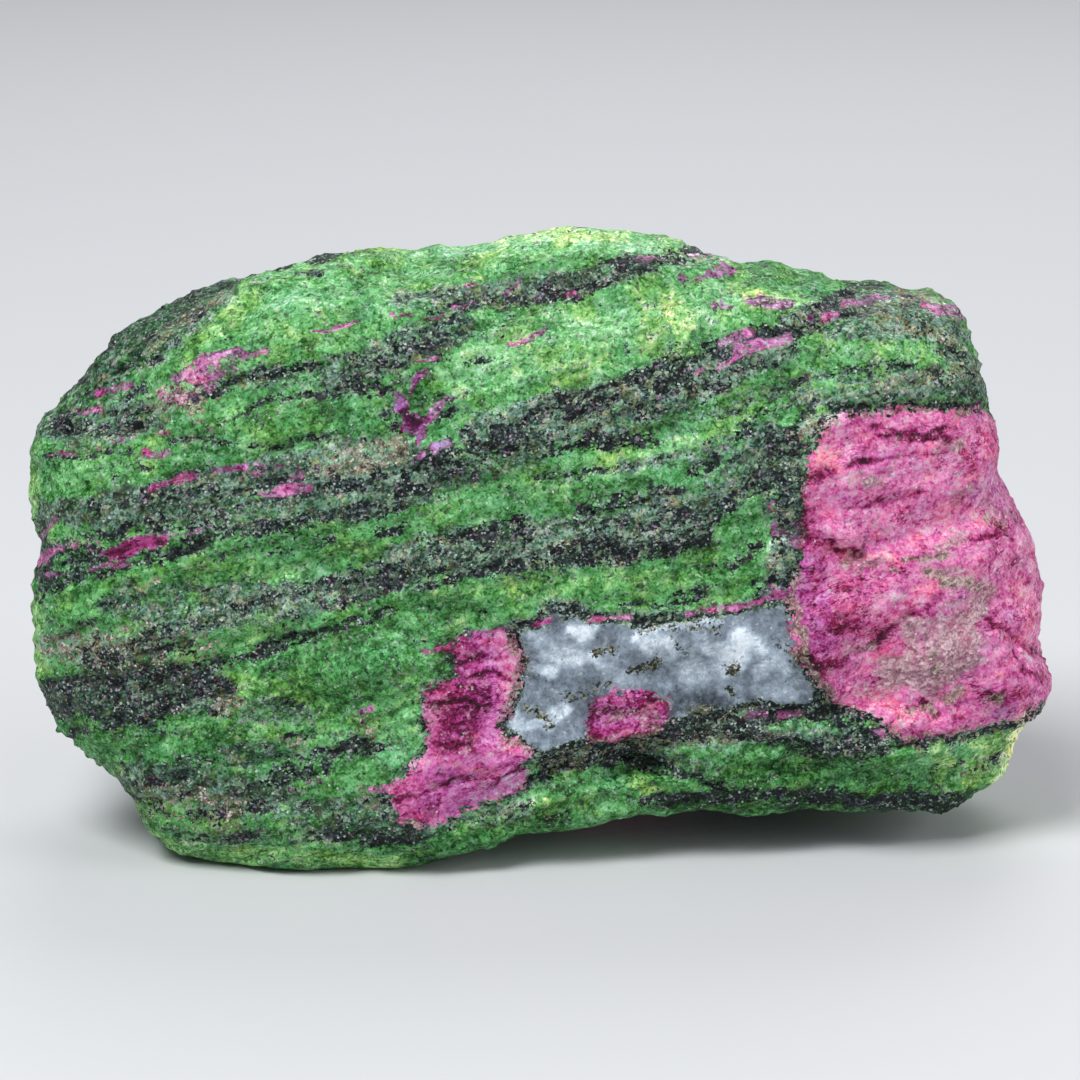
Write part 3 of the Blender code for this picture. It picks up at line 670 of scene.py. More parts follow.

# Broad lighter places, and darker ones with a minus: partly the stone's own tone,
# partly painted light on lit faces and edges and painted shade on shaded ones and
# under the stone
SHADE_STROKES = strokes(
    # Painted light on the right toe, the lower left rim and the left edges
    (0.95, (1022, 722, 10), (1018, 755, 11), (1002, 784, 10)),
    (0.65, (930, 760, 12), (980, 748, 18)),
    (0.22, (122, 800, 8), (138, 832, 9), (160, 850, 9), (300, 861, 9), (400, 868, 7)),
    (0.35, (300, 842, 8), (335, 838, 8)),
    (0.30, (36, 470, 8), (34, 505, 8)),
    (0.25, (38, 610, 8), (42, 665, 8)),
    # Darker upper left bevel: partly its darker grains, partly painted shade
    (-0.48, (60, 400, 22), (100, 362, 26), (150, 326, 26), (225, 285, 13)),
    (-0.22, (60, 510, 22), (200, 500, 24)),
    (-0.48, (60, 695, 28), (140, 690, 36), (220, 690, 20)),
    (0.15, (780, 310, 16), (880, 340, 30), (960, 350, 24)),
    (0.15, (480, 430, 20), (620, 410, 30), (760, 350, 20)),
    # Lighter towards the top: partly the rock's tone, partly painted light on the
    # upward faces and the top edge
    (0.30, (215, 320, 22), (290, 300, 32), (380, 290, 34), (450, 270, 22)),
    (0.66, (460, 375, 22), (540, 345, 34), (640, 325, 38), (720, 300, 26)),
    (0.85, (450, 245, 14), (600, 236, 14), (720, 256, 12)),
    (0.35, (830, 352, 12), (880, 350, 14), (930, 356, 12)),
    (0.30, (600, 470, 18), (690, 445, 22)),
    (-0.15, (50, 600, 40), (200, 600, 40)),
    (-0.42, (290, 690, 40), (360, 660, 40), (380, 610, 25)),
    (-0.25, (80, 760, 50), (200, 790, 60), (330, 810, 50)),
    (-0.30, (700, 560, 20), (730, 575, 25)),
    # Painted shade along the lower edge, and a painted shadow under the overhanging
    # right end
    (-0.50, (420, 850, 16), (560, 822, 16)),
    (-0.55, (640, 772, 14), (780, 775, 16), (900, 772, 16)),
    (-1.00, (660, 803, 9), (800, 803, 12), (980, 803, 11)),
    # On the rubies
    (0.60, (102, 555, 6), (130, 549, 9), (165, 540, 5)),
    (0.35, (262, 494, 5), (288, 491, 8), (312, 484, 5)),
    (-0.45, (815, 660, 14), (840, 630, 14), (880, 640, 12)),
    (-0.45, (806, 520, 14), (812, 560, 16), (818, 640, 18), (850, 600, 18)),
    (-0.80, (460, 660, 26), (465, 700, 32), (455, 735, 24)),
    (-0.16, (420, 800, 24), (480, 780, 24)),
    (-0.70, (425, 375, 10), (403, 400, 12), (420, 428, 12)),
    (-0.35, (405, 795, 12), (420, 815, 12)),
    (-0.60, (600, 715, 24), (655, 718, 24)),
    (0.50, (828, 532, 8), (850, 526, 9), (856, 540, 9)),
    (0.50, (862, 558, 4), (888, 556, 5)),
    (0.45, (944, 454, 6), (955, 453, 6)),
    (0.20, (985, 480, 9), (1000, 505, 10)),
    (-0.35, (870, 432, 7), (940, 434, 8)),
    (-0.30, (860, 466, 6), (885, 470, 6)),
    (0.35, (875, 605, 7), (895, 595, 7)),
    (-0.40, (880, 620, 8), (905, 606, 6)),
    (0.45, (1020, 650, 7), (1034, 662, 8)),
    (-0.35, (1000, 700, 10), (1030, 690, 8)),
    # On the quartz
    (-0.45, (610, 705, 8), (680, 700, 16), (730, 705, 12)),
    (-0.25, (525, 715, 16), (555, 730, 14)),
    (-0.35, (520, 670, 5), (585, 690, 9), (610, 665, 8)),
    (-0.30, (680, 704, 8), (740, 702, 8), (800, 700, 8)),
    (-0.30, (780, 620, 8), (800, 670, 7), (820, 695, 5)),
    # At the edges of the large ruby and on the lower one
    (0.40, (870, 712, 10), (900, 716, 14), (918, 720, 8)),
    (0.35, (1022, 540, 12), (1028, 600, 12), (1030, 640, 10)),
    (0.45, (820, 455, 8), (850, 452, 8)),
    (0.35, (515, 690, 9), (500, 715, 8)),
    (-0.25, (455, 752, 14), (500, 758, 12)),
)

# Deep red lines and shadowed partings in the rubies
GROOVE_STROKES = strokes(
    (0.70, (400, 414, 4), (413, 420, 5), (426, 417, 4)),
    (1.00, (108, 554, 6), (130, 549, 9), (162, 541, 6)),
    (0.80, (868, 425, 2), (900, 435, 3), (950, 430, 2)),
    (0.80, (878, 438, 2), (950, 440, 3)),
    (0.85, (843, 466, 3), (880, 460, 3), (950, 450, 2)),
    (0.75, (848, 510, 3), (890, 500, 3), (922, 492, 2)),
    (0.95, (828, 540, 3), (842, 551, 3), (862, 556, 3)),
    (0.80, (806, 480, 6), (828, 472, 6)),
    (0.60, (800, 500, 5), (806, 540, 5)),
    (0.70, (852, 655, 3), (880, 640, 5), (905, 615, 4), (940, 600, 3)),
    (0.70, (800, 655, 6), (820, 668, 8), (845, 660, 5)),
    (0.60, (960, 545, 3), (1000, 530, 3)),
    (0.70, (990, 522, 3), (1010, 540, 3)),
    (0.70, (985, 616, 3), (1005, 632, 3), (1040, 652, 3)),
    (0.80, (1012, 650, 3), (1022, 668, 4), (1040, 680, 3)),
    (0.65, (975, 690, 4), (995, 700, 5)),
    (0.75, (915, 700, 4), (935, 712, 4)),
    (0.55, (1015, 560, 5), (1025, 580, 5)),
    (0.80, (425, 690, 3), (455, 672, 4)),
    (0.80, (460, 662, 2), (480, 655, 2), (500, 660, 2)),
    (0.80, (465, 678, 2), (490, 672, 2), (515, 682, 2)),
    (0.70, (430, 705, 3), (460, 700, 3), (490, 705, 3)),
    (0.80, (395, 800, 3), (430, 790, 2), (470, 775, 2)),
    (0.85, (490, 790, 3), (515, 772, 3), (530, 762, 2)),
    (0.70, (590, 735, 4), (625, 742, 4), (655, 732, 4)),
    (0.60, (586, 700, 3), (590, 725, 4)),
)

# Relief of the break, in millimetres of rise, or of sinking with a minus
RELIEF_STROKES = strokes(
    (0.60, (245, 290, 8), (300, 274, 8), (350, 266, 8)),
    (-0.50, (235, 278, 6), (300, 262, 6), (350, 258, 5)),
    (0.50, (150, 352, 8), (180, 330, 8), (225, 300, 8)),
    (0.50, (350, 258, 10), (400, 256, 10)),
    (-0.45, (400, 262, 5), (415, 275, 6)),
    (-0.70, (660, 300, 5), (672, 320, 5), (694, 340, 5)),
    (0.50, (700, 330, 14), (710, 300, 10)),
    (0.35, (580, 340, 10), (560, 370, 10)),
    (0.50, (330, 640, 30), (370, 690, 30)),
    (-0.30, (800, 410, 5), (850, 412, 5), (992, 409, 5)),
    (0.80, (828, 530, 9), (850, 536, 10)),
    (-0.60, (828, 548, 4), (850, 558, 4), (880, 552, 3)),
    (0.60, (870, 556, 7), (888, 558, 6)),
    (-0.28, (988, 616, 5), (1008, 634, 5), (1042, 654, 5)),
    (0.50, (1015, 672, 12), (1030, 680, 10)),
    (-0.40, (790, 610, 5), (800, 655, 6), (822, 700, 6)),
    (-0.35, (512, 640, 5), (522, 690, 5), (508, 725, 5)),
    (-0.90, (540, 768, 7), (600, 752, 8), (700, 742, 8), (800, 748, 7)),
    (0.70, (560, 790, 9), (640, 780, 9), (720, 770, 9)),
    (-0.80, (612, 757, 5), (665, 770, 6), (722, 787, 5)),
    (0.50, (870, 715, 9), (920, 722, 9)),
    (-0.20, (430, 750, 5), (470, 745, 5), (505, 735, 5)),
    (0.30, (440, 770, 12), (500, 755, 12)),
    (-0.50, (490, 795, 5), (532, 768, 5)),
    (0.50, (590, 700, 10), (660, 705, 10)),
)

# What is painted by strokes alone
LAYER_STROKES: dict[Layer, tuple[Stroke, ...]] = {
    Layer.MIXED: MIXED_STROKES,
    Layer.LIME: LIME_STROKES,
    Layer.PALE: PALE_STROKES,
    Layer.TAN: TAN_STROKES,
    Layer.FLECK: FLECK_STROKES,
    Layer.LILAC: LILAC_STROKES,
    Layer.GROOVE: GROOVE_STROKES,
}

# Outlines of the crystals, in picture points
BIG_RUBY: Outline = (
    (838, 413), (900, 412), (960, 410), (996, 411), (1040, 440), (1080, 500),
    (1080, 690), (1036, 706), (1020, 720), (1000, 722), (955, 735), (905, 742),
    (880, 722), (835, 702), (815, 682), (800, 662), (788, 640), (790, 600),
    (800, 560), (800, 540), (803, 500), (805, 455), (820, 440),
)
LOWER_RUBY: Outline = (
    (460, 635), (500, 632), (512, 640), (525, 655), (520, 690), (512, 705),
    (500, 730), (530, 745), (533, 755), (520, 770), (525, 785), (500, 800),
    (440, 820), (415, 828), (400, 822), (390, 800), (395, 785), (430, 750),
    (430, 735), (428, 700), (425, 690), (455, 675), (458, 655), (440, 650),
)
SMALL_RUBY: Outline = (
    (585, 705), (600, 693), (640, 690), (668, 700), (670, 715), (655, 735),
    (620, 745), (590, 740),
)
QUARTZ_BODY: Outline = (
    (511, 634), (545, 622), (552, 612), (575, 613), (590, 622), (640, 625),
    (700, 618), (760, 605), (790, 600), (800, 640), (805, 665), (822, 690),
    (815, 706), (760, 708), (700, 715), (672, 720), (655, 737), (620, 747),
    (590, 742), (575, 744), (545, 758), (528, 748), (508, 728), (505, 715), (520, 695),
    (524, 660),
)


@dataclass(frozen=True)
class Crystal:
    """One crystal or mass in the rock.

    Attributes:
        outline: Its outline on the front view, in picture points.
        start: Depth behind the front at which it begins to narrow, in mm.
        taper: How much its edge draws in for each mm of depth, in mm.
        rim: How black the rock is that touches it.
    """

    outline: Outline
    start: float
    taper: float
    rim: float

    def edge(self, x: Array, y: Array, depth: Array, scale: float) -> Array:
        """Return the distance in from the crystal's edge.

        Args:
            x: Picture x of each place.
            y: Picture y of each place.
            depth: Depth of each place behind the front, in mm.
            scale: Picture points to a mm.

        Returns:
            Millimetres inside the edge, or negative outside it.
        """
        nearest = np.full(len(x), np.inf)
        inside = np.zeros(len(x), bool)
        ends = self.outline[1:] + self.outline[:1]
        for (ax, ay), (bx, by) in zip(self.outline, ends):
            dx, dy = bx - ax, by - ay
            along = ((x - ax) * dx + (y - ay) * dy) / (dx * dx + dy * dy)
            along = np.clip(along, 0.0, 1.0)
            gap = np.hypot(x - ax - along * dx, y - ay - along * dy)
            nearest = np.minimum(nearest, gap)
            crosses = (ay > y) != (by > y)
            side = (y - ay) * dx / (dy if dy else TINY) + ax
            inside ^= crosses & (x < side)
        out = np.where(inside, nearest, -nearest) / scale
        return out - self.taper * np.maximum(depth - self.start, 0.0)


@dataclass(frozen=True)
class Pocket:
    """A rounded patch of ruby or quartz away from the front.

    Attributes:
        middle: Its middle, in mm.
        reach: Its half sizes along x, y and z, in mm.
        rim: How black the rock is that touches it.
        slant: How much it rises for each step along x.
        roundness: How close it is to an egg, from 0 for a box to 1.
    """

    middle: Place
    reach: Place
    rim: float = 0.75
    slant: float = -0.25
    roundness: float = 0.6

    def edge(self, points: Array, swell: Array) -> Array:
        """Return the distance in from the pocket's edge.

        Args:
            points: Rows of x, y, z in mm.
            swell: How much larger the pocket is towards each of them.

        Returns:
            Millimetres inside the edge, or negative outside it.
        """
        off = points - np.array(self.middle)
        off[:, 2] = off[:, 2] - self.slant * off[:, 0]
        span = np.abs(off) / np.array(self.reach)
        egg, box = np.linalg.norm(span, axis=1), span.max(axis=1)
        size = self.roundness * egg + (1.0 - self.roundness) * box
        return (1.0 + swell - size) * min(self.reach)


@dataclass
class MineralMap:
    """Where each mineral lies on the stone.

    Attributes:
        camera: The camera whose picture the strokes are placed in.
        scale: Picture points to a mm at the stone.
        front: Distance of the front from the middle, in mm.
        back: Where the front's pattern ends and the back's begins, in mm.
        wander: How far the pattern moves on the back, in picture points.
        ragged: How far the edges of the strokes wander, in picture points.
        rise: How much the bands rise for each step along them.
        base_dark: Share of loose black grains in the green rock.
        reach: Distance from an edge beyond which nothing changes, in mm.
        ruby: The rubies that the front shows.
        quartz: The quartz that the front shows.
        ruby_pockets: The rubies on the other sides.
        quartz_pockets: The quartz on the other sides.
    """

    camera: PhotoCamera
    scale: float = 8.5
    front: float = 20.0
    back: tuple[float, float] = (3.0, 18.0)
    wander: float = 75.0
    ragged: float = 5.0
    rise: float = 0.30
    base_dark: float = 0.10
    reach: float = 4.0
    ruby: tuple[Crystal, ...] = (
        Crystal(BIG_RUBY, 14.0, 0.28, 0.80),
        Crystal(LOWER_RUBY, 10.0, 0.60, 0.40),
        Crystal(SMALL_RUBY, 8.0, 0.60, 0.60),
    )
    quartz: tuple[Crystal, ...] = (Crystal(QUARTZ_BODY, 8.0, 0.70, 0.90),)
    ruby_pockets: tuple[Pocket, ...] = (
        Pocket((-22.0, 21.0, 24.0), (11.0, 9.0, 7.0)),
        Pocket((8.0, 20.0, 50.0), (7.0, 10.0, 4.5)),
        Pocket((-52.0, 14.0, 44.0), (8.0, 7.0, 6.0)),
        Pocket((10.0, 4.0, 4.0), (9.0, 8.0, 6.0)),
    )
    quartz_pockets: tuple[Pocket, ...] = (
        Pocket((-8.0, 23.0, 20.0), (12.0, 8.0, 6.0)),
        Pocket((14.0, 22.0, 46.0), (6.0, 8.0, 3.5)),
    )

    def paint(self, points: Array) -> dict[Layer, Array]:
        """Return what is painted at each point.

        Args:
            points: Rows of x, y, z in metres.

        Returns:
            The value of each layer at each row.
        """
        place = points / MM
        x, y = self.pattern_place(points)
        layers = {layer: self.blend(strokes, x, y)
                  for layer, strokes in LAYER_STROKES.items()}
        layers[Layer.DARK] = self.darkness(x, y, place)
        layers[Layer.SHADE] = self.shade(x, y, place)
        swell = 0.65 * noise_at(place / 7.0, 91.0) + 0.45 * noise_at(place / 2.8, 95.0)
        for layer, crystals, pockets in (
                (Layer.RUBY, self.ruby, self.ruby_pockets),
                (Layer.QUARTZ, self.quartz, self.quartz_pockets)):
            edges = [crystal.edge(x, y, place[:, 1] + self.front, self.scale)
                     for crystal in crystals]
            edges += [pocket.edge(place, swell) for pocket in pockets]
            for body, edge in zip(crystals + pockets, edges):
                rim = smooth_step(-1.7, -0.5, edge) * smooth_step(1.1, 0.1, edge)
                layers[Layer.DARK] = np.maximum(layers[Layer.DARK], body.rim * rim)
            layers[layer] = np.clip(np.max(edges, axis=0), -self.reach, self.reach)
        return layers

    def behind(self, place: Array) -> Array:
        """Return how far each place, in mm, belongs to the back, from 0 to 1."""
        return smooth_step(*self.back, place[:, 1])

    def pattern_place(self, points: Array) -> tuple[Array, Array]:
        """Return each point's place in the pattern.

        It is the point's place in the picture, made ragged. Towards the back
        it wanders off, so the back isn't a copy of the front.

        Args:
            points: Rows of x, y, z in metres.

        Returns:
            Picture x and y of each row.
        """
        place = points / MM
        x, y = self.camera.picture(points)
        behind = self.behind(place) * self.wander
        x = x + behind * noise_at(place / 32.0, 3.0) + behind * 0.5
        y = y + behind * noise_at(place / 28.0, 9.0) - behind * 0.3
        x = x + self.ragged * fractal_at(place / 3.4, 21.0)
        y = y + self.ragged * fractal_at(place / 2.6, 27.0)
        return x, y

    def band_place(self, x: Array, y: Array, place: Array) -> Array:
        """Return places measured along and across the bands.

        The bands bend down beside the large ruby.

        Args:
            x: Picture x of each place.
            y: Picture y of each place.
            place: Rows of x, y, z in mm.

        Returns:
            Rows of the distance along, across and into the stone, in mm.
        """
        bend = 0.45 * np.maximum(x - 660.0, 0.0) * smooth_step(360.0, 430.0, y)
        bend = bend * smooth_step(640.0, 560.0, y)
        along = (x - self.rise * y) / self.scale
        across = (y + self.rise * x + bend) / self.scale
        return np.column_stack((along, across, place[:, 1]))

    def darkness(self, x: Array, y: Array, place: Array) -> Array:
        """Return the share of black grains at each place.

        Args:
            x: Picture x of each place.
            y: Picture y of each place.
            place: Rows of x, y, z in mm.

        Returns:
            The share, from 0 to 1.
        """
        bands = self.band_place(x, y, place)
        streaks = noise_at(bands / np.array((7.0, 1.1, 5.0)), 5.0)
        threads = noise_at(bands / np.array((3.0, 0.6, 3.0)), 8.0)
        clumps = noise_at(bands / np.array((18.0, 4.5, 14.0)), 13.0)
        painted = self.blend(DARK_STROKES, x, y)
        left = smooth_step(360.0, 260.0, x) * smooth_step(380.0, 430.0, y)
        loose = self.base_dark + 0.08 * left
        loose = loose + 0.16 * streaks + 0.10 * threads + 0.10 * clumps
        loose = loose + self.behind(place) * 0.5 * smooth_step(0.05, 0.35, clumps)
        inside = painted * (1.0 + 0.20 * streaks + 0.22 * threads)
        return np.clip(np.maximum(loose, inside + 0.3 * loose), 0.0, 1.0)

    @staticmethod
    def shade(x: Array, y: Array, place: Array) -> Array:
        """Return how much lighter or darker each place is, by the stone's own tone and
        by painted light and shade.

        Args:
            x: Picture x of each place.
            y: Picture y of each place.
            place: Rows of x, y, z in mm.

        Returns:
            From -1 for the darkest to 1 for the lightest.
        """
        total = 0.10 * fractal_at(place / 9.0, 33.0)
        for stroke in SHADE_STROKES:
            total = total + stroke.strength * stroke.cover(x, y)
        return np.clip(total, -1.0, 1.0)

    @staticmethod
    def blend(strokes: tuple[Stroke, ...], x: Array, y: Array) -> Array:
        """Return strokes laid over each other.

        Args:
            strokes: The strokes. One with a minus wipes the others away.
            x: Picture x of each place.
            y: Picture y of each place.

        Returns:
            The share that is covered, from 0 to 1.
        """
        open_share = np.ones(len(x))
        wiped = np.ones(len(x))
        for stroke in strokes:
            cover = abs(stroke.strength) * stroke.cover(x, y)
            if stroke.strength > 0.0:
                open_share = open_share * (1.0 - cover)
            else:
                wiped = wiped * (1.0 - cover)
        return (1.0 - open_share) * wiped


@dataclass
class StoneMesh:
    """The stone's fine mesh.

    Attributes:
        name: Name of the piece.
        voxel: Size of its faces away from the front, in mm.
        band_turn: How steeply the layers rise along the stone, in radians.
        layers: Height and wavelengths of the layered break, in mm.
        lumps: Height and wavelength of each size of lump, in mm.
        chips: Tilt and width of each size of chip, the width in mm.
        parting: Half height of the steps in ruby, in mm.
        step: Distance between the steps in ruby, in mm.
        groove: Depth of black bands in rock and of deep lines in ruby, in mm.
    """

    name: str = "stone_rough"
    voxel: float = 0.87
    band_turn: float = BAND_TURN
    layers: tuple[tuple[float, Place], ...] = (
        (0.42, (9.0, 6.0, 1.9)), (0.20, (4.2, 3.0, 0.95)))
    lumps: tuple[tuple[float, float], ...] = ((0.22, 5.0), (0.12, 2.2), (0.08, 1.1))
    chips: tuple[tuple[float, float], ...] = ((0.12, 4.2), (0.17, 2.1), (0.20, 1.15))
    parting: float = 0.08
    step: float = 1.5
    groove: float = 0.16

    def build(self, node: bpy.types.Object, camera: PhotoCamera) -> bpy.types.Object:
        """Make the fine mesh from the solid.

        Args:
            node: The solid that the piece stands for.
            camera: The camera, which decides what gets the finest faces.

        Returns:
            The new piece.
        """
        stone = bpy.data.objects.new(self.name, node.data.copy())
        bpy.context.scene.collection.objects.link(stone)
        stone.data.materials.clear()
        self.select_only(stone)
        bpy.ops.object.mode_set(mode="EDIT")
        bpy.ops.mesh.select_all(action="SELECT")
        bpy.ops.mesh.remove_doubles(threshold=1e-6)
        bpy.ops.object.mode_set(mode="OBJECT")
        self.even_out(stone)
        self.refine_front(stone, camera)
        return stone

    @staticmethod
    def select_only(thing: bpy.types.Object) -> None:
        """Make one object the only selected one.

        Args:
            thing: The object.
        """
        bpy.ops.object.select_all(action="DESELECT")
        thing.select_set(True)
        bpy.context.view_layer.objects.active = thing

    def even_out(self, stone: bpy.types.Object) -> None:
        """Give the mesh even faces, and soften the solid's flat ones.

        Args:
            stone: The piece.
        """
        even = stone.modifiers.new("Even faces", "REMESH")
        even.mode = "VOXEL"
        even.voxel_size = self.voxel * MM
        soft = stone.modifiers.new("Soften", "SMOOTH")
        soft.factor = 0.5
        soft.iterations = 6
        for modifier in list(stone.modifiers):
            bpy.ops.object.modifier_apply(modifier=modifier.name)

    @staticmethod
    def refine_front(stone: bpy.types.Object, camera: PhotoCamera) -> None:
        """Divide the faces that the camera sees.

        Args:
            stone: The piece.
            camera: The camera.
        """
        towards = np.array((0.0, -math.cos(camera.elevation),
                            math.sin(camera.elevation)))
        faces = stone.data.polygons
        normals = np.empty(len(faces) * 3)
        faces.foreach_get("normal", normals)
        least_facing = 0.12
        seen = normals.reshape(-1, 3) @ towards > least_facing
        bpy.ops.object.mode_set(mode="EDIT")
        bpy.ops.mesh.select_mode(type="FACE")
        bpy.ops.mesh.select_all(action="DESELECT")
        bpy.ops.object.mode_set(mode="OBJECT")
        faces.foreach_set("select", seen)
        bpy.ops.object.mode_set(mode="EDIT")
        bpy.ops.mesh.subdivide(number_cuts=1, ngon=False)
        bpy.ops.object.mode_set(mode="OBJECT")

    def break_up(self, stone: bpy.types.Object, minerals: MineralMap) -> None:
        """Raise the relief of the broken surface, paint the minerals, and store how
        deep each point sits, for painted shade in the hollows.

        Args:
            stone: The piece.
            minerals: Where each mineral lies.
        """
        points = self.read(stone, "co")
        normals = self.read(stone, "normal")
        painted = minerals.paint(points)
        rise = self.broken(points, painted, minerals)
        # Painted shade: the deeper a point sits in the relief, the darker its colour
        # will be
        painted[Layer.HOLLOW] = np.clip(-rise - 0.15, -1.0, 1.0)
        rise = rise + self.ledges(points, minerals)
        foot = smooth_step(0.15, 1.2, points[:, 2] / MM)
        rise = rise * (0.15 + 0.85 * foot)
        self.write(stone, points + normals * (rise * MM)[:, None])
        for layer, values in painted.items():
            self.store(stone, layer, values)
        self.rest(stone)
        self.select_only(stone)
        bpy.ops.object.shade_smooth()

    def broken(self, points: Array, painted: dict[Layer, Array],
               minerals: MineralMap) -> Array:
        """Return how the break stands out in each mineral.

        The rock breaks roughest, the ruby in steps and the quartz smoothest.

        Args:
            points: Rows of x, y, z in metres.
            painted: What is painted at each row.
            minerals: Where each mineral lies.

        Returns:
            The rise at each row, in mm.
        """
        place = points / MM
        ruby = smooth_step(-0.4, 0.6, painted[Layer.RUBY])
        quartz = smooth_step(-0.4, 0.6, painted[Layer.QUARTZ]) * (1.0 - ruby)
        rock = 1.0 - np.maximum(ruby, quartz)
        rise = self.layered(place) * (rock + 0.15 * ruby)
        rise = rise + self.lumpy(place) * (rock + 0.45 * ruby + 0.5 * quartz)
        rise = rise + self.chipped(place) * (rock + 0.8 * ruby + 0.35 * quartz)
        rise = rise + self.parted(points, minerals) * ruby
        rise = rise - self.groove * painted[Layer.DARK] * rock
        rise = rise - self.groove * painted[Layer.GROOVE] * ruby
        return rise + 0.15 * ruby + 0.10 * quartz

    @staticmethod
    def ledges(points: Array, minerals: MineralMap) -> Array:
        """Return the single ledges and hollows of the front.

        Args:
            points: Rows of x, y, z in metres.
            minerals: Where each mineral lies.

        Returns:
            The rise at each row, in mm.
        """
        x, y = minerals.pattern_place(points)
        front = smooth_step(6.0, -2.0, points[:, 1] / MM)
        rise = np.zeros(len(points))
        for stroke in RELIEF_STROKES:
            rise = rise + stroke.strength * stroke.cover(x, y) * front
        return rise

    def layered(self, place: Array) -> Array:
        """Return ridges that are long along the bands.

        Args:
            place: Rows of x, y, z in mm.

        Returns:
            The rise at each row, in mm.
        """
        cosine, sine = math.cos(self.band_turn), math.sin(self.band_turn)
        bent = place + 1.6 * np.column_stack(
            [noise_at(place / 11.0, seed) for seed in (41.0, 43.0, 47.0)])
        x = bent[:, 0] * cosine + bent[:, 2] * sine
        z = bent[:, 2] * cosine - bent[:, 0] * sine + 0.27 * bent[:, 1]
        turned = np.column_stack((x, bent[:, 1], z))
        total = np.zeros(len(place))
        for row, (height, size) in enumerate(self.layers):
            ridge = 1.0 - 2.0 * np.abs(noise_at(turned / np.array(size), 50.0 + row))
            total += height * (ridge - 0.6)
        return total

    def lumpy(self, place: Array) -> Array:
        """Return rounded lumps of several sizes.

        Args:
            place: Rows of x, y, z in mm.

        Returns:
            The rise at each row, in mm.
        """
        total = np.zeros(len(place))
        for row, (height, size) in enumerate(self.lumps):
            total += height * noise_at(place / size, 60.0 + 3.0 * row)
        return total

    def chipped(self, place: Array) -> Array:
        """Return small flat chips, each tilted its own way.

        Args:
            place: Rows of x, y, z in mm.

        Returns:
            The rise at each row, in mm.
        """
        total = np.zeros(len(place))
        for row, (tilt, size) in enumerate(self.chips):
            for index, point in enumerate(place / size):
                seed = noise.voronoi(Vector(point))[1][0]
                slope = noise.cell_vector(seed * 7.0 + Vector((row, 0.0, 0.0)))
                off = Vector(point) - seed
                total[index] += tilt * size * (slope - Vector(HALVES)).dot(off)
        return total

    def parted(self, points: Array, minerals: MineralMap) -> Array:
        """Return the wavy parting steps of ruby.

        They slope more in the lower ruby, which stands left of the large one.

        Args:
            points: Rows of x, y, z in metres.
            minerals: Where each mineral lies.

        Returns:
            The rise at each row, in mm.
        """
        x, y = minerals.pattern_place(points)
        slope = np.where(x < 700.0, 0.35, 0.05)
        wave = 9.0 * noise_at(points / MM / 6.0, 71.0)
        across = (y + slope * x + wave) / minerals.scale / self.step
        saw = across - np.floor(across)
        return self.parting * (0.5 - saw) * 2.0

    def rest(self, stone: bpy.types.Object) -> None:
        """Keep the piece above the table.

        Args:
            stone: The piece.
        """
        points = self.read(stone, "co")
        points[:, 2] = np.maximum(points[:, 2], 0.0)
        self.write(stone, points)

    @staticmethod
    def read(stone: bpy.types.Object, what: str) -> Array:
        """Return the mesh points' places or directions.

        Args:
            stone: The piece.
            what: "co" for their places, "normal" for their directions.

        Returns:
            Rows of x, y, z.
        """
        flat = np.empty(len(stone.data.vertices) * 3)
        stone.data.vertices.foreach_get(what, flat)
        return flat.reshape(-1, 3)

    @staticmethod
    def write(stone: bpy.types.Object, points: Array) -> None:
        """Put the mesh's points in their places.

        Args:
            stone: The piece.
            points: Rows of x, y, z in metres.
        """
        stone.data.vertices.foreach_set("co", points.ravel())
        stone.data.update()

    @staticmethod
    def store(stone: bpy.types.Object, layer: Layer, values: Array) -> None:
        """Keep a layer's values on the mesh's points.

        Args:
            stone: The piece.
            layer: The layer.
            values: Its value at each point.
        """
        made = stone.data.attributes.new(layer.value, "FLOAT", "POINT")
        made.data.foreach_set("value", values.astype(np.float32))


Plug = bpy.types.NodeSocket | float | tuple
Shades = tuple[tuple[float, Colour], ...]


@dataclass(frozen=True)
class Wave:
    """The sizes in one noise.

    Attributes:
        scale: Its waves to a metre.
        detail: Number of finer sizes that are added.
        rough: How strong the finer sizes are.
    """

    scale: float
    detail: float = 2.0
    rough: float = 0.5


class Noise(Enum):
    """The noises of the material, by what they change."""

    BEND = Wave(260.0, 1.0)
    STREAK = Wave(560.0, 4.0, 0.68)
    CLUMP = Wave(880.0)
    BLOT = Wave(430.0, 3.0, 0.6)
    CLOUD = Wave(420.0, 4.0, 0.65)
    # Where painted shade darkens small pits
    PIT = Wave(1700.0, 2.0, 0.6)
    GREEN_HUE = Wave(240.0)
    GREY_HUE = Wave(620.0)
    RUBY_HUE = Wave(330.0, 3.0, 0.6)
    DULLNESS = Wave(540.0)
    PARTING = Wave(760.0, 4.0, 0.62)
    GAPS = Wave(300.0)
    HAZE = Wave(230.0, 5.0, 0.68)
    LUMPS = Wave(700.0, 3.0, 0.6)


class Tint(Enum):
    """What grains' colours are multiplied by."""

    WARM_GREEN = (1.30, 1.03, 0.78)
    COOL_GREEN = (0.92, 0.98, 1.16)
    LIME = (1.80, 1.28, 1.10)
    WARM_GREY = (1.20, 1.01, 0.88)
    COOL_GREY = (0.78, 1.04, 1.10)
    DUSTY_RUBY = (0.88, 1.15, 1.15)
    DEEP_RUBY = (1.08, 0.80, 0.74)
    LILAC_RUBY = (0.84, 0.92, 1.18)
    CORAL_RUBY = (1.12, 1.06, 0.70)
    SPECK_IN_RUBY = (0.45, 1.00, 0.50)
    PINK_FLECK = (0.86, 1.50, 1.36)
    MAUVE_QUARTZ = (0.95, 0.72, 0.86)
    # Painted shade in small pits and in the relief's hollows
    PIT = (0.30, 0.33, 0.32)
    HOLLOW = (0.22, 0.22, 0.23)


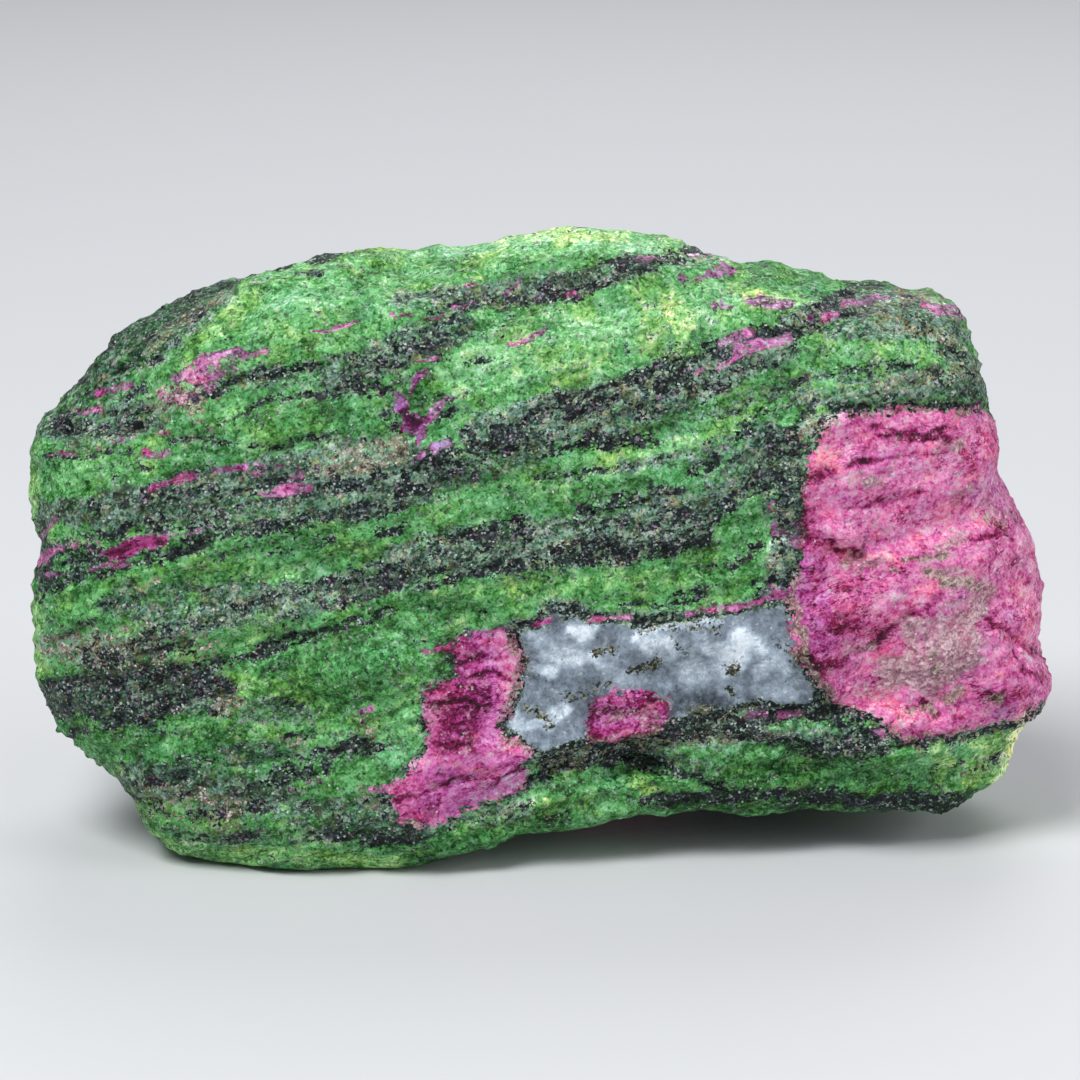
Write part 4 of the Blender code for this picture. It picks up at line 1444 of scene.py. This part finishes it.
class Graph:
    """Adds nodes to one tree, and links them as it goes.

    Attributes:
        tree: The tree that the nodes go in.
    """

    def __init__(self, tree: bpy.types.NodeTree) -> None:
        """Keep the tree that the nodes go in."""
        self.tree = tree

    def add(self, kind: str, values: dict[str | int, Plug] | None = None,
            **settings: object) -> bpy.types.Node:
        """Add a node.

        Args:
            kind: The node's type.
            values: What goes in each input, by name or number.
            settings: The node's own settings.

        Returns:
            The node.
        """
        node = self.tree.nodes.new(kind)
        for name, value in settings.items():
            setattr(node, name, value)
        for key, value in (values or {}).items():
            self.plug(node.inputs[key], value)
        return node

    def plug(self, socket: bpy.types.NodeSocket, value: Plug) -> None:
        """Link or set one input.

        Args:
            socket: The input.
            value: The output to link, or the value to set.
        """
        if isinstance(value, bpy.types.NodeSocket):
            self.tree.links.new(value, socket)
        elif isinstance(value, tuple) and len(value) == 3 and socket.type == "RGBA":
            socket.default_value = (*value, 1.0)
        else:
            socket.default_value = value

    def math(self, kind: str, a: Plug, b: Plug = 0.0) -> Plug:
        """Return the result of one sum."""
        return self.add("ShaderNodeMath", {0: a, 1: b}, operation=kind).outputs[0]

    def total(self, first: Plug, *terms: tuple[Plug, float]) -> Plug:
        """Return a value plus further values.

        Args:
            first: The first value.
            terms: The further values, each with the number it is multiplied by.

        Returns:
            The total.
        """
        for value, share in terms:
            node = self.add("ShaderNodeMath", {0: value, 1: share, 2: first},
                            operation="MULTIPLY_ADD")
            first = node.outputs[0]
        return first

    def vector(self, kind: str, a: Plug, b: Plug = (0.0, 0.0, 0.0)) -> Plug:
        """Return the result of one vector sum."""
        node = self.add("ShaderNodeVectorMath", {0: a, 1: b}, operation=kind)
        return node.outputs["Value" if kind == "DOT_PRODUCT" else "Vector"]

    def spread(self, value: Plug, low: Plug, high: Plug, first: float = 0.0,
               last: float = 1.0) -> Plug:
        """Return a value brought smoothly from one range to another.

        Args:
            value: The value.
            low: Where the result is the first value.
            high: Where the result is the last value.
            first: The first value.
            last: The last value.

        Returns:
            The result.
        """
        node = self.add("ShaderNodeMapRange",
                        {0: value, 1: low, 2: high, 3: first, 4: last},
                        interpolation_type="SMOOTHSTEP")
        return node.outputs[0]

    def noise_node(self, place: Plug, kind: Noise) -> bpy.types.Node:
        """Add one of the noises.

        Args:
            place: Where it is read.
            kind: Which noise it is.

        Returns:
            The node.
        """
        wave = kind.value
        return self.add("ShaderNodeTexNoise", {
            "Vector": place, "Scale": wave.scale, "Detail": wave.detail,
            "Roughness": wave.rough})

    def noise(self, place: Plug, kind: Noise) -> Plug:
        """Return one of the noises, about 0.25 to 0.75."""
        return self.noise_node(place, kind).outputs["Fac"]

    def swing(self, place: Plug, kind: Noise) -> Plug:
        """Return one of the noises, about -0.25 to 0.25."""
        return self.math("SUBTRACT", self.noise(place, kind), 0.5)

    def ramp(self, value: Plug, shades: Shades) -> Plug:
        """Return a colour read from a row of colours.

        Args:
            value: Where in the row it is read, from 0 to 1.
            shades: The colours, each with its place in the row.

        Returns:
            The colour.
        """
        node = self.add("ShaderNodeValToRGB", {0: value})
        row = node.color_ramp.elements
        while len(row) < len(shades):
            row.new(1.0)
        for element, (place, colour) in zip(row, shades):
            element.position = place
            element.color = (*colour, 1.0)
        return node.outputs["Color"]

    def mix(self, share: Plug, a: Plug, b: Plug, kind: str = "MIX") -> Plug:
        """Return two colours mixed.

        Args:
            share: How much of the second colour goes in, from 0 to 1.
            a: The first colour.
            b: The second colour.
            kind: How they are mixed.

        Returns:
            The colour.
        """
        node = self.add("ShaderNodeMix", data_type="RGBA", blend_type=kind,
                        clamp_factor=True)
        self.plug(node.inputs[0], share)
        self.plug(node.inputs[6], a)
        self.plug(node.inputs[7], b)
        return node.outputs[2]

    def mix_value(self, share: Plug, a: Plug, b: Plug) -> Plug:
        """Return two values mixed."""
        node = self.add("ShaderNodeMix", {0: share, 2: a, 3: b}, data_type="FLOAT")
        return node.outputs[0]

    def layer(self, layer: Layer) -> Plug:
        """Return a painted layer."""
        node = self.add("ShaderNodeAttribute", attribute_name=layer.value)
        return node.outputs["Fac"]


@dataclass(frozen=True)
class Finish:
    """How one mineral looks.

    Attributes:
        shades: Its grains' colours, from the darkest grain to the lightest.
        rough: Roughness of its glossiest and of its dullest grains.
    """

    shades: Shades
    rough: tuple[float, float]


ZOISITE = Finish(
    ((0.00, (0.006, 0.036, 0.008)), (0.22, (0.028, 0.156, 0.025)),
     (0.50, (0.112, 0.392, 0.116)), (0.74, (0.255, 0.625, 0.255)),
     (0.90, (0.415, 0.790, 0.405)), (1.00, (0.640, 0.910, 0.620))),
    (0.40, 0.66))
AMPHIBOLE = Finish(
    ((0.00, (0.001, 0.002, 0.002)), (0.40, (0.004, 0.008, 0.008)),
     (0.62, (0.020, 0.030, 0.032)), (0.80, (0.080, 0.105, 0.110)),
     (1.00, (0.330, 0.400, 0.390))),
    (0.34, 0.62))
RUBY = Finish(
    ((0.00, (0.040, 0.002, 0.014)), (0.20, (0.230, 0.008, 0.075)),
     (0.42, (0.550, 0.088, 0.300)), (0.62, (0.775, 0.220, 0.470)),
     (0.82, (0.900, 0.415, 0.630)), (1.00, (0.990, 0.790, 0.870))),
    (0.36, 0.62))
QUARTZ = Finish(
    ((0.00, (0.016, 0.022, 0.028)), (0.25, (0.088, 0.110, 0.137)),
     (0.52, (0.215, 0.262, 0.318)), (0.80, (0.425, 0.510, 0.595)),
     (1.00, (0.780, 0.860, 0.930))),
    (0.18, 0.38))

# Colours of the grains that are mixed in among the minerals
COOL_GREY: Shades = (
    (0.00, (0.003, 0.007, 0.005)), (0.26, (0.020, 0.044, 0.032)),
    (0.48, (0.115, 0.196, 0.155)), (0.74, (0.320, 0.450, 0.365)),
    (1.00, (0.690, 0.800, 0.680)))
WARM_GREY: Shades = (
    (0.00, (0.008, 0.007, 0.004)), (0.28, (0.040, 0.042, 0.022)),
    (0.52, (0.145, 0.164, 0.085)), (0.76, (0.360, 0.380, 0.240)),
    (1.00, (0.760, 0.740, 0.600)))
TAN: Shades = (
    (0.00, (0.020, 0.014, 0.010)), (0.35, (0.130, 0.105, 0.070)),
    (0.70, (0.420, 0.350, 0.275)), (1.00, (0.780, 0.700, 0.620)))
MAUVE: Shades = (
    (0.00, (0.020, 0.008, 0.018)), (0.35, (0.130, 0.054, 0.110)),
    (0.65, (0.355, 0.190, 0.315)), (1.00, (0.800, 0.620, 0.760)))
BEIGE: Shades = (
    (0.00, (0.100, 0.050, 0.055)), (0.35, (0.330, 0.205, 0.215)),
    (0.70, (0.600, 0.435, 0.450)), (1.00, (0.860, 0.730, 0.750)))
OLIVE: Shades = (
    (0.00, (0.006, 0.008, 0.006)), (0.50, (0.030, 0.036, 0.020)),
    (1.00, (0.330, 0.330, 0.200)))
SALT: Colour = (0.40, 0.52, 0.44)
# White of small white grains, and of painted glints on them
WHITE_GRAIN_AND_GLINT: Colour = (0.82, 0.88, 0.80)


class GrainGroup:
    """A node group that cuts space into grains."""

    name = "Grains"

    def build(self) -> bpy.types.NodeTree:
        """Make the group.

        Its outputs are three random values for each grain, and the height of
        the grain's tilted face, in metres for a tilt of 1.

        Returns:
            The group.
        """
        tree = bpy.data.node_groups.new(self.name, "ShaderNodeTree")
        face = tree.interface
        face.new_socket("Place", in_out="INPUT", socket_type="NodeSocketVector")
        face.new_socket("Scale", in_out="INPUT", socket_type="NodeSocketFloat")
        for name in ("First", "Second", "Third", "Face"):
            face.new_socket(name, in_out="OUTPUT", socket_type="NodeSocketFloat")
        graph = Graph(tree)
        start = graph.add("NodeGroupInput")
        cells = graph.add("ShaderNodeTexVoronoi", {
            "Vector": start.outputs["Place"], "Scale": start.outputs["Scale"]})
        split = graph.add("ShaderNodeSeparateColor", {0: cells.outputs["Color"]})
        slope = graph.vector("SUBTRACT", cells.outputs["Color"], HALVES)
        off = graph.vector("SUBTRACT", start.outputs["Place"],
                           cells.outputs["Position"])
        graph.add("NodeGroupOutput", {
            "First": split.outputs[0], "Second": split.outputs[1],
            "Third": split.outputs[2],
            "Face": graph.vector("DOT_PRODUCT", slope, off)})
        return tree


@dataclass
class StoneMaterial:
    """The stone's material, which turns the painted layers into grains.

    Attributes:
        name: Name of the material.
        grain: Size of a large grain, in mm.
        fine: Size of a small grain, in mm.
        stretch: How much longer large grains are along the bands.
        band_turn: How steeply the bands rise along the stone, in radians.
        bend: How far grains are moved out of line, in metres.
        refraction: Index of refraction.
        shine: How strongly it reflects light.
        tilt: How steeply grains' faces tilt.
        quartz_tilt: How steeply they tilt in quartz.
        lump: Height of the lumps that are larger than grains, in metres.
    """

    name: str = "ruby_in_zoisite"
    grain: float = 0.44
    fine: float = 0.24
    stretch: float = 1.35
    band_turn: float = BAND_TURN
    bend: float = 0.0016
    refraction: float = 1.60
    shine: float = 0.14
    tilt: float = 0.45
    quartz_tilt: float = 0.12
    lump: float = 0.00022

    def build(self) -> bpy.types.Material:
        """Make the material.

        Returns:
            The material.
        """
        material = bpy.data.materials.new(self.name)
        material.use_nodes = True
        tree = material.node_tree
        shader = tree.nodes["Principled BSDF"]
        shader.inputs["IOR"].default_value = self.refraction
        shader.inputs["Specular IOR Level"].default_value = self.shine
        self.graph = Graph(tree)
        self.group = GrainGroup().build()
        self.set_places()
        self.set_grains()
        self.choose_rock()
        self.choose_crystals()
        self.set_tones()
        self.graph.plug(shader.inputs["Base Color"], self.colour())
        self.graph.plug(shader.inputs["Roughness"], self.roughness())
        self.graph.plug(shader.inputs["Normal"], self.bump())
        return material

    def set_places(self) -> None:
        """Set the coordinates, plain and drawn out along the bands."""
        graph = self.graph
        self.place = graph.add("ShaderNodeTexCoord").outputs["Object"]
        bent = graph.noise_node(self.place, Noise.BEND)
        shift = graph.vector("SUBTRACT", bent.outputs["Color"], HALVES)
        small = graph.add("ShaderNodeVectorMath", {0: shift, 3: self.bend},
                          operation="SCALE").outputs[0]
        moved = graph.vector("ADD", self.place, small)
        self.turned = graph.add("ShaderNodeMapping", {
            "Vector": moved, "Rotation": (0.0, self.band_turn, 0.0)}).outputs[0]
        self.drawn = graph.vector("MULTIPLY", self.turned,
                                  (1.0 / self.stretch, 1.0, 1.0))

    def set_grains(self) -> None:
        """Set the grains, their random values, and the noise they lie in."""
        graph = self.graph
        self.coarse = self.grains(self.drawn, self.grain)
        self.small = self.grains(self.place, self.fine)
        self.dice = [graph.total(0.0, (self.coarse.outputs[row], 0.52),
                                 (self.small.outputs[row], 0.48))
                     for row in range(3)]
        streak_place = graph.vector("MULTIPLY", self.turned, (0.30, 0.45, 1.0))
        self.streak = graph.swing(streak_place, Noise.STREAK)
        self.clump = graph.swing(self.place, Noise.CLUMP)

    def grains(self, place: Plug, size: float) -> bpy.types.Node:
        """Add grains of one size in mm."""
        return self.graph.add("ShaderNodeGroup", {
            "Place": place, "Scale": 1.0 / (size * MM)}, node_tree=self.group)

    def choose_rock(self) -> None:
        """Decide which grains of the rock are black, grey, red, tan or mauve."""
        graph = self.graph
        dark, mixed = graph.layer(Layer.DARK), graph.layer(Layer.MIXED)
        blot = graph.spread(graph.noise(self.place, Noise.BLOT), 0.50, 0.60)
        patchy = graph.math("MULTIPLY", mixed, graph.math("SUBTRACT", blot, 0.30))
        near_ruby = graph.spread(graph.layer(Layer.RUBY), -1.3, -0.2)
        near_quartz = graph.spread(graph.layer(Layer.QUARTZ), -2.2, -0.4)
        beside = graph.total(0.0, (near_ruby, 0.6), (near_quartz, 0.9))
        density = graph.total(-0.08, (dark, 0.80), (patchy, 0.66),
                              (self.streak, 1.4), (self.clump, 1.0), (beside, 0.10))
        self.is_dark = self.over(density, self.dice[0], 0.12)
        greyness = graph.total(-0.30, (mixed, 0.74), (dark, 0.30),
                               (self.streak, 1.5), (self.clump, 1.0),
                               (self.dice[1], 0.75), (beside, 0.9))
        self.is_grey = graph.spread(greyness, 0.05, 0.80, 0.0, 0.92)
        fleck = graph.total(graph.layer(Layer.FLECK), (self.streak, 1.4),
                            (self.clump, 0.8))
        limit = graph.total(0.21, (self.dice[1], 0.74))
        self.is_fleck = self.over(fleck, limit, 0.14)
        tan = graph.total(graph.layer(Layer.TAN), (self.streak, 0.5))
        self.is_tan = self.over(tan, self.dice[2], 0.14)
        rose = graph.total(-0.14, (mixed, 0.16), (self.clump, 1.0))
        self.is_rose = self.over(rose, self.small.outputs["Third"], 0.06)

    def choose_crystals(self) -> None:
        """Decide which grains are ruby or quartz, with a ragged edge."""
        graph = self.graph
        ragged = graph.total(-0.60, (self.dice[0], 1.2), (self.streak, 2.2),
                             (self.clump, 1.5))
        edge = graph.math("ADD", graph.layer(Layer.RUBY), ragged)
        self.is_ruby = self.over(edge, 0.0, 0.12)
        edge = graph.total(graph.layer(Layer.QUARTZ), (ragged, -1.1),
                           (graph.layer(Layer.DARK), -1.2))
        self.is_quartz = self.over(edge, 0.0, 0.14)

    def over(self, value: Plug, limit: Plug, soft: float) -> Plug:
        """Return 1 where a value is over a limit, else 0, with a soft edge."""
        gap = self.graph.math("SUBTRACT", value, limit)
        return self.graph.spread(gap, -soft, soft)

    def tinted(self, colour: Plug, share: Plug, tint: Tint) -> Plug:
        """Return a colour that is partly multiplied by a tint."""
        whole = self.graph.mix(1.0, colour, tint.value, "MULTIPLY")
        return self.graph.mix(share, colour, whole)

    def set_tones(self) -> None:
        """Set the lighter and darker places, tone with painted light and shade, and
        the mixed-in colours.
        """
        graph = self.graph
        self.shade = graph.layer(Layer.SHADE)
        self.pale = graph.layer(Layer.PALE)
        self.cloud = graph.swing(self.place, Noise.CLOUD)
        tone = graph.total(0.02, (self.dice[1], 0.95))
        self.tan = graph.ramp(tone, TAN)
        self.mauve = graph.ramp(tone, MAUVE)
        self.beige = graph.ramp(tone, BEIGE)

    def colour(self) -> Plug:
        """Return the colour of every grain.

        Returns:
            The colour.
        """
        graph = self.graph
        colour = graph.mix(self.is_tan, self.rock(), self.tan)
        colour = graph.mix(self.is_dark, colour, self.black())
        colour = graph.mix(graph.math("MULTIPLY", self.is_rose, 0.8), colour,
                           self.mauve)
        salt = graph.math("MULTIPLY",
                          graph.spread(self.small.outputs["Second"], 0.88, 0.98),
                          graph.math("MAXIMUM", self.is_dark, self.is_grey))
        colour = graph.mix(graph.math("MULTIPLY", salt, 0.55), colour, SALT)
        ruby = self.red()
        colour = graph.mix(self.is_fleck, colour, self.flecked(ruby))
        colour = graph.mix(self.is_quartz, colour, self.grey())
        colour = graph.mix(self.is_ruby, colour, self.stained(ruby))
        return self.with_painted_shade_and_glints(colour)

    def flecked(self, ruby: Plug) -> Plug:
        """Return the colour of the small ruby streaks.

        Args:
            ruby: The colour of plain ruby.

        Returns:
            The colour.
        """
        graph = self.graph
        kind = graph.total(graph.noise(self.place, Noise.DULLNESS),
                           (self.dice[0], 0.25))
        calm = graph.spread(graph.layer(Layer.FLECK), 0.96, 0.80)
        dull = graph.math("MULTIPLY", graph.spread(kind, 0.50, 0.72), calm)
        pink = graph.total(0.35, (graph.layer(Layer.LILAC), 0.65))
        return graph.mix(dull, self.tinted(ruby, pink, Tint.PINK_FLECK), self.mauve)

    def stained(self, ruby: Plug) -> Plug:
        """Return the colour of the large rubies, with beige and dark places.

        Args:
            ruby: The colour of plain ruby.

        Returns:
            The colour.
        """
        graph = self.graph
        share = graph.total(-0.25, (graph.layer(Layer.TAN), 0.9), (self.streak, 1.5),
                            (self.clump, 1.5), (self.dice[2], 0.5))
        ruby = graph.mix(graph.spread(share, 0.0, 0.9, 0.0, 0.85), ruby, self.beige)
        dark = graph.math("MULTIPLY", self.is_dark, graph.spread(
            graph.layer(Layer.DARK), 0.25, 0.70))
        return graph.mix(graph.math("MULTIPLY", dark, 0.8), ruby, self.tan)

    def with_painted_shade_and_glints(self, colour: Plug) -> Plug:
        """Return a colour with painted shade in small pits and in the relief's
        hollows, and white grains with painted glints.

        Args:
            colour: The colour without them.

        Returns:
            The colour.
        """
        graph = self.graph
        # Painted shade in small pits, half as strong in ruby, none in quartz
        pit_shade = graph.spread(graph.noise(self.place, Noise.PIT), 0.46, 0.32)
        half = graph.total(0.0, (pit_shade, 0.5))
        pit_shade = graph.mix_value(self.is_quartz, pit_shade, 0.0)
        pit_shade = graph.mix_value(self.is_ruby, pit_shade, half)
        colour = self.tinted(colour, pit_shade, Tint.PIT)
        # White small grains, partly painted glints
        colour = graph.mix(graph.math("MULTIPLY", self.sparkle(), 0.42), colour, WHITE_GRAIN_AND_GLINT)
        # Painted shade in the relief's hollows
        sunk_shade = graph.spread(graph.layer(Layer.HOLLOW), 0.0, 0.7, 0.0, 0.75)
        return self.tinted(colour, sunk_shade, Tint.HOLLOW)

    def rock(self) -> Plug:
        """Return the colour of the green and grey grains.

        Returns:
            The colour.
        """
        tone = self.graph.total(0.11, (self.dice[2], 0.66), (self.shade, 0.30),
                                (self.cloud, 0.90), (self.pale, 0.30),
                                (self.streak, -0.45), (self.clump, 0.55))
        return self.graph.mix(self.is_grey, self.green(tone), self.speckled(tone))

    def green(self, tone: Plug) -> Plug:
        """Return the colour of the green grains.

        Args:
            tone: How light each grain is, from 0 to 1.

        Returns:
            The colour.
        """
        graph = self.graph
        green = graph.ramp(tone, ZOISITE.shades)
        hue = graph.noise(self.place, Noise.GREEN_HUE)
        green = self.tinted(green, graph.spread(hue, 0.50, 0.66), Tint.WARM_GREEN)
        green = self.tinted(green, graph.spread(hue, 0.47, 0.30), Tint.COOL_GREEN)
        lime = graph.total(-0.18, (graph.layer(Layer.LIME), 1.0), (self.clump, 1.2),
                           (self.dice[0], 0.30))
        return self.tinted(green, graph.spread(lime, 0.0, 0.9), Tint.LIME)

    def speckled(self, tone: Plug) -> Plug:
        """Return the colour of the grey grains.

        Args:
            tone: How light each grain is, from 0 to 1.

        Returns:
            The colour.
        """
        graph = self.graph
        tone = graph.total(tone, (self.is_grey, 0.02))
        kind = graph.total(graph.noise(self.place, Noise.GREY_HUE),
                           (graph.layer(Layer.TAN), 0.22), (self.dice[0], 0.12))
        grey = graph.mix(graph.spread(kind, 0.58, 0.78),
                         graph.ramp(tone, COOL_GREY), graph.ramp(tone, WARM_GREY))
        single = self.coarse.outputs["First"]
        grey = self.tinted(grey, graph.spread(single, 0.60, 0.85), Tint.WARM_GREY)
        return self.tinted(grey, graph.spread(single, 0.35, 0.10), Tint.COOL_GREY)

    def black(self) -> Plug:
        """Return the colour of the black grains."""
        tone = self.graph.total(0.03, (self.dice[1], 0.95), (self.cloud, 0.6))
        return self.graph.ramp(tone, AMPHIBOLE.shades)

    def red(self) -> Plug:
        """Return the colour of the ruby's grains.

        Returns:
            The colour.
        """
        graph = self.graph
        ruby = graph.ramp(self.red_tone(), RUBY.shades)
        hue = graph.total(graph.noise(self.place, Noise.RUBY_HUE),
                          (self.coarse.outputs["Second"], 0.12))
        ruby = self.tinted(ruby, graph.spread(hue, 0.58, 0.80), Tint.DUSTY_RUBY)
        ruby = self.tinted(ruby, graph.spread(hue, 0.54, 0.34), Tint.DEEP_RUBY)
        lilac = graph.math("MULTIPLY", graph.layer(Layer.LILAC), 0.7)
        ruby = self.tinted(ruby, lilac, Tint.LILAC_RUBY)
        coral = graph.math("MULTIPLY", graph.layer(Layer.LIME), 0.6)
        ruby = self.tinted(ruby, coral, Tint.CORAL_RUBY)
        speck = graph.math("GREATER_THAN", self.small.outputs["First"], 0.985)
        return self.tinted(ruby, speck, Tint.SPECK_IN_RUBY)

    def red_tone(self) -> Plug:
        """Return how light each of the ruby's grains is.

        It is darker along thin, broken parting lines.

        Returns:
            From 0 for the darkest to 1 for the lightest.
        """
        graph = self.graph
        wavy = graph.vector("MULTIPLY", self.turned, (0.30, 0.6, 1.0))
        parting = graph.swing(wavy, Noise.PARTING)
        line = graph.spread(graph.math("ABSOLUTE", parting), 0.030, 0.0)
        broken = graph.spread(graph.noise(self.place, Noise.GAPS), 0.44, 0.58)
        line = graph.math("MULTIPLY", line, broken)
        calm = graph.spread(graph.layer(Layer.FLECK), 0.92, 1.00)
        grain = graph.mix_value(calm, self.dice[2], 0.45)
        return graph.total(0.285, (grain, 0.54), (parting, 0.70), (self.cloud, 0.50),
                           (self.clump, 0.45), (self.pale, 0.28),
                           (self.shade, 0.36), (line, -0.34),
                           (graph.layer(Layer.GROOVE), -0.40),
                           (self.is_fleck, -0.10))

    def grey(self) -> Plug:
        """Return the colour of the quartz.

        Returns:
            The colour.
        """
        graph = self.graph
        haze = graph.noise(self.place, Noise.HAZE)
        tone = graph.total(-0.09, (haze, 0.95), (self.cloud, 0.60),
                           (self.pale, 0.56), (self.shade, 0.35),
                           (self.dice[2], 0.26), (self.clump, 0.45))
        quartz = graph.ramp(tone, QUARTZ.shades)
        mauve = graph.math("MULTIPLY", graph.layer(Layer.LILAC), 0.8)
        quartz = self.tinted(quartz, mauve, Tint.MAUVE_QUARTZ)
        return graph.mix(self.is_tan, quartz, graph.ramp(self.dice[1], OLIVE))

    def sparkle(self) -> Plug:
        """Return how strongly each small grain flashes white, mostly 0: a white grain
        in colour, its white partly a painted glint, and glossy in roughness.

        Returns:
            From 0 for none to 1 for the whitest, a little less in quartz.
        """
        graph = self.graph
        lucky = graph.spread(self.small.outputs["Second"], 0.984, 1.000)
        rest = graph.math("SUBTRACT", 1.0, self.is_quartz)
        return graph.math("MULTIPLY", lucky, graph.total(0.8, (rest, 0.2)))

    def roughness(self) -> Plug:
        """Return how rough each grain is.

        Returns:
            The roughness.
        """
        flash_rough = 0.32
        rough = self.between(ZOISITE)
        for share, finish in ((self.is_dark, AMPHIBOLE), (self.is_quartz, QUARTZ),
                              (self.is_ruby, RUBY)):
            rough = self.graph.mix_value(share, rough, self.between(finish))
        return self.graph.mix_value(self.sparkle(), rough, flash_rough)

    def between(self, finish: Finish) -> Plug:
        """Return each grain's roughness in one finish."""
        low, high = finish.rough
        return self.graph.total(low, (self.coarse.outputs["Second"], high - low))

    def bump(self) -> Plug:
        """Return the direction of every grain's face.

        Returns:
            The direction.
        """
        graph = self.graph
        quartz = graph.spread(graph.layer(Layer.QUARTZ), -0.3, 0.3)
        tilt = graph.mix_value(quartz, self.tilt, self.quartz_tilt)
        faces = graph.total(self.coarse.outputs["Face"],
                            (self.small.outputs["Face"], 0.8))
        height = graph.math("MULTIPLY", faces, tilt)
        height = graph.total(height, (graph.noise(self.place, Noise.LUMPS), self.lump))
        bump = graph.add("ShaderNodeBump", {
            "Height": height, "Distance": 1.0, "Strength": 1.0})
        return bump.outputs["Normal"]


@dataclass(frozen=True)
class Lamp:
    """One soft square light that faces the stone.

    Attributes:
        name: Name of the light.
        place: Its middle, in metres.
        size: Length of its sides, in metres.
        power: Its power in watts.
        aim: What it faces, in metres.
    """

    name: str
    place: Place
    size: float
    power: float
    aim: Place = (0.0, 0.0, 0.035)

    def build(self) -> None:
        """Add the light."""
        data = bpy.data.lights.new(self.name, "AREA")
        data.size = self.size
        data.energy = self.power
        light = bpy.data.objects.new(self.name, data)
        bpy.context.scene.collection.objects.link(light)
        light.location = self.place
        towards = Vector(self.aim) - Vector(self.place)
        light.rotation_euler = towards.to_track_quat("-Z", "Y").to_euler()


@dataclass
class Studio:
    """A plain pale floor and soft light.

    Attributes:
        floor_size: Side of the floor in metres.
        floor_colour: Colour of the floor.
        floor_rough: Roughness of the floor.
        lamps: The lights.
        sky_colour: Colour of the surrounding light.
        sky: Strength of the surrounding light.
    """

    floor_size: float = 3.0
    floor_colour: Colour = (0.62, 0.63, 0.65)
    floor_rough: float = 0.70
    lamps: tuple[Lamp, ...] = (
        Lamp("key_light", (-0.38, -0.55, 0.95), 0.50, 13.0),
        Lamp("fill_light", (0.95, -0.35, 0.45), 0.60, 4.5),
        Lamp("back_light", (0.10, 0.60, 0.70), 0.60, 3.0),
    )
    sky_colour: Colour = (0.80, 0.84, 0.90)
    sky: float = 0.24

    def build(self) -> None:
        """Add the floor, the lights and the surrounding light."""
        self.floor()
        for lamp in self.lamps:
            lamp.build()
        world = bpy.data.worlds.new("studio")
        world.use_nodes = True
        background = world.node_tree.nodes["Background"]
        background.inputs["Color"].default_value = (*self.sky_colour, 1.0)
        background.inputs["Strength"].default_value = self.sky
        bpy.context.scene.world = world
        bpy.context.scene.view_settings.view_transform = "Standard"

    def floor(self) -> None:
        """Add the floor, which the stone stands on."""
        bpy.ops.object.select_all(action="DESELECT")
        bpy.ops.mesh.primitive_plane_add(size=self.floor_size)
        floor = bpy.context.object
        floor.name = "floor"
        material = bpy.data.materials.new("floor")
        material.use_nodes = True
        shader = material.node_tree.nodes["Principled BSDF"]
        shader.inputs["Base Color"].default_value = (*self.floor_colour, 1.0)
        shader.inputs["Roughness"].default_value = self.floor_rough
        floor.data.materials.append(material)


def report(piece: bpy.types.Object) -> None:
    """Log a finished piece's size and number of triangles.

    Args:
        piece: The piece.
    """
    triangles = sum(len(face.vertices) - 2 for face in piece.data.polygons)
    size = [round(side / MM, 1) for side in piece.dimensions]
    LOG.info("%s: %s mm, %d triangles", piece.name, size, triangles)


def main() -> None:
    """Dress the stone and light it."""
    logging.basicConfig(level=logging.INFO, format="%(name)s: %(message)s")
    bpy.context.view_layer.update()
    camera = PhotoCamera()
    camera.place()
    builder = StoneMesh()
    stone = builder.build(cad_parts["stone"], camera)
    builder.break_up(stone, MineralMap(camera))
    stone.data.materials.append(StoneMaterial().build())
    report(stone)
    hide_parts("stone")
    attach(stone, "root")
    Studio().build()


if __name__ == "__main__":
    main()
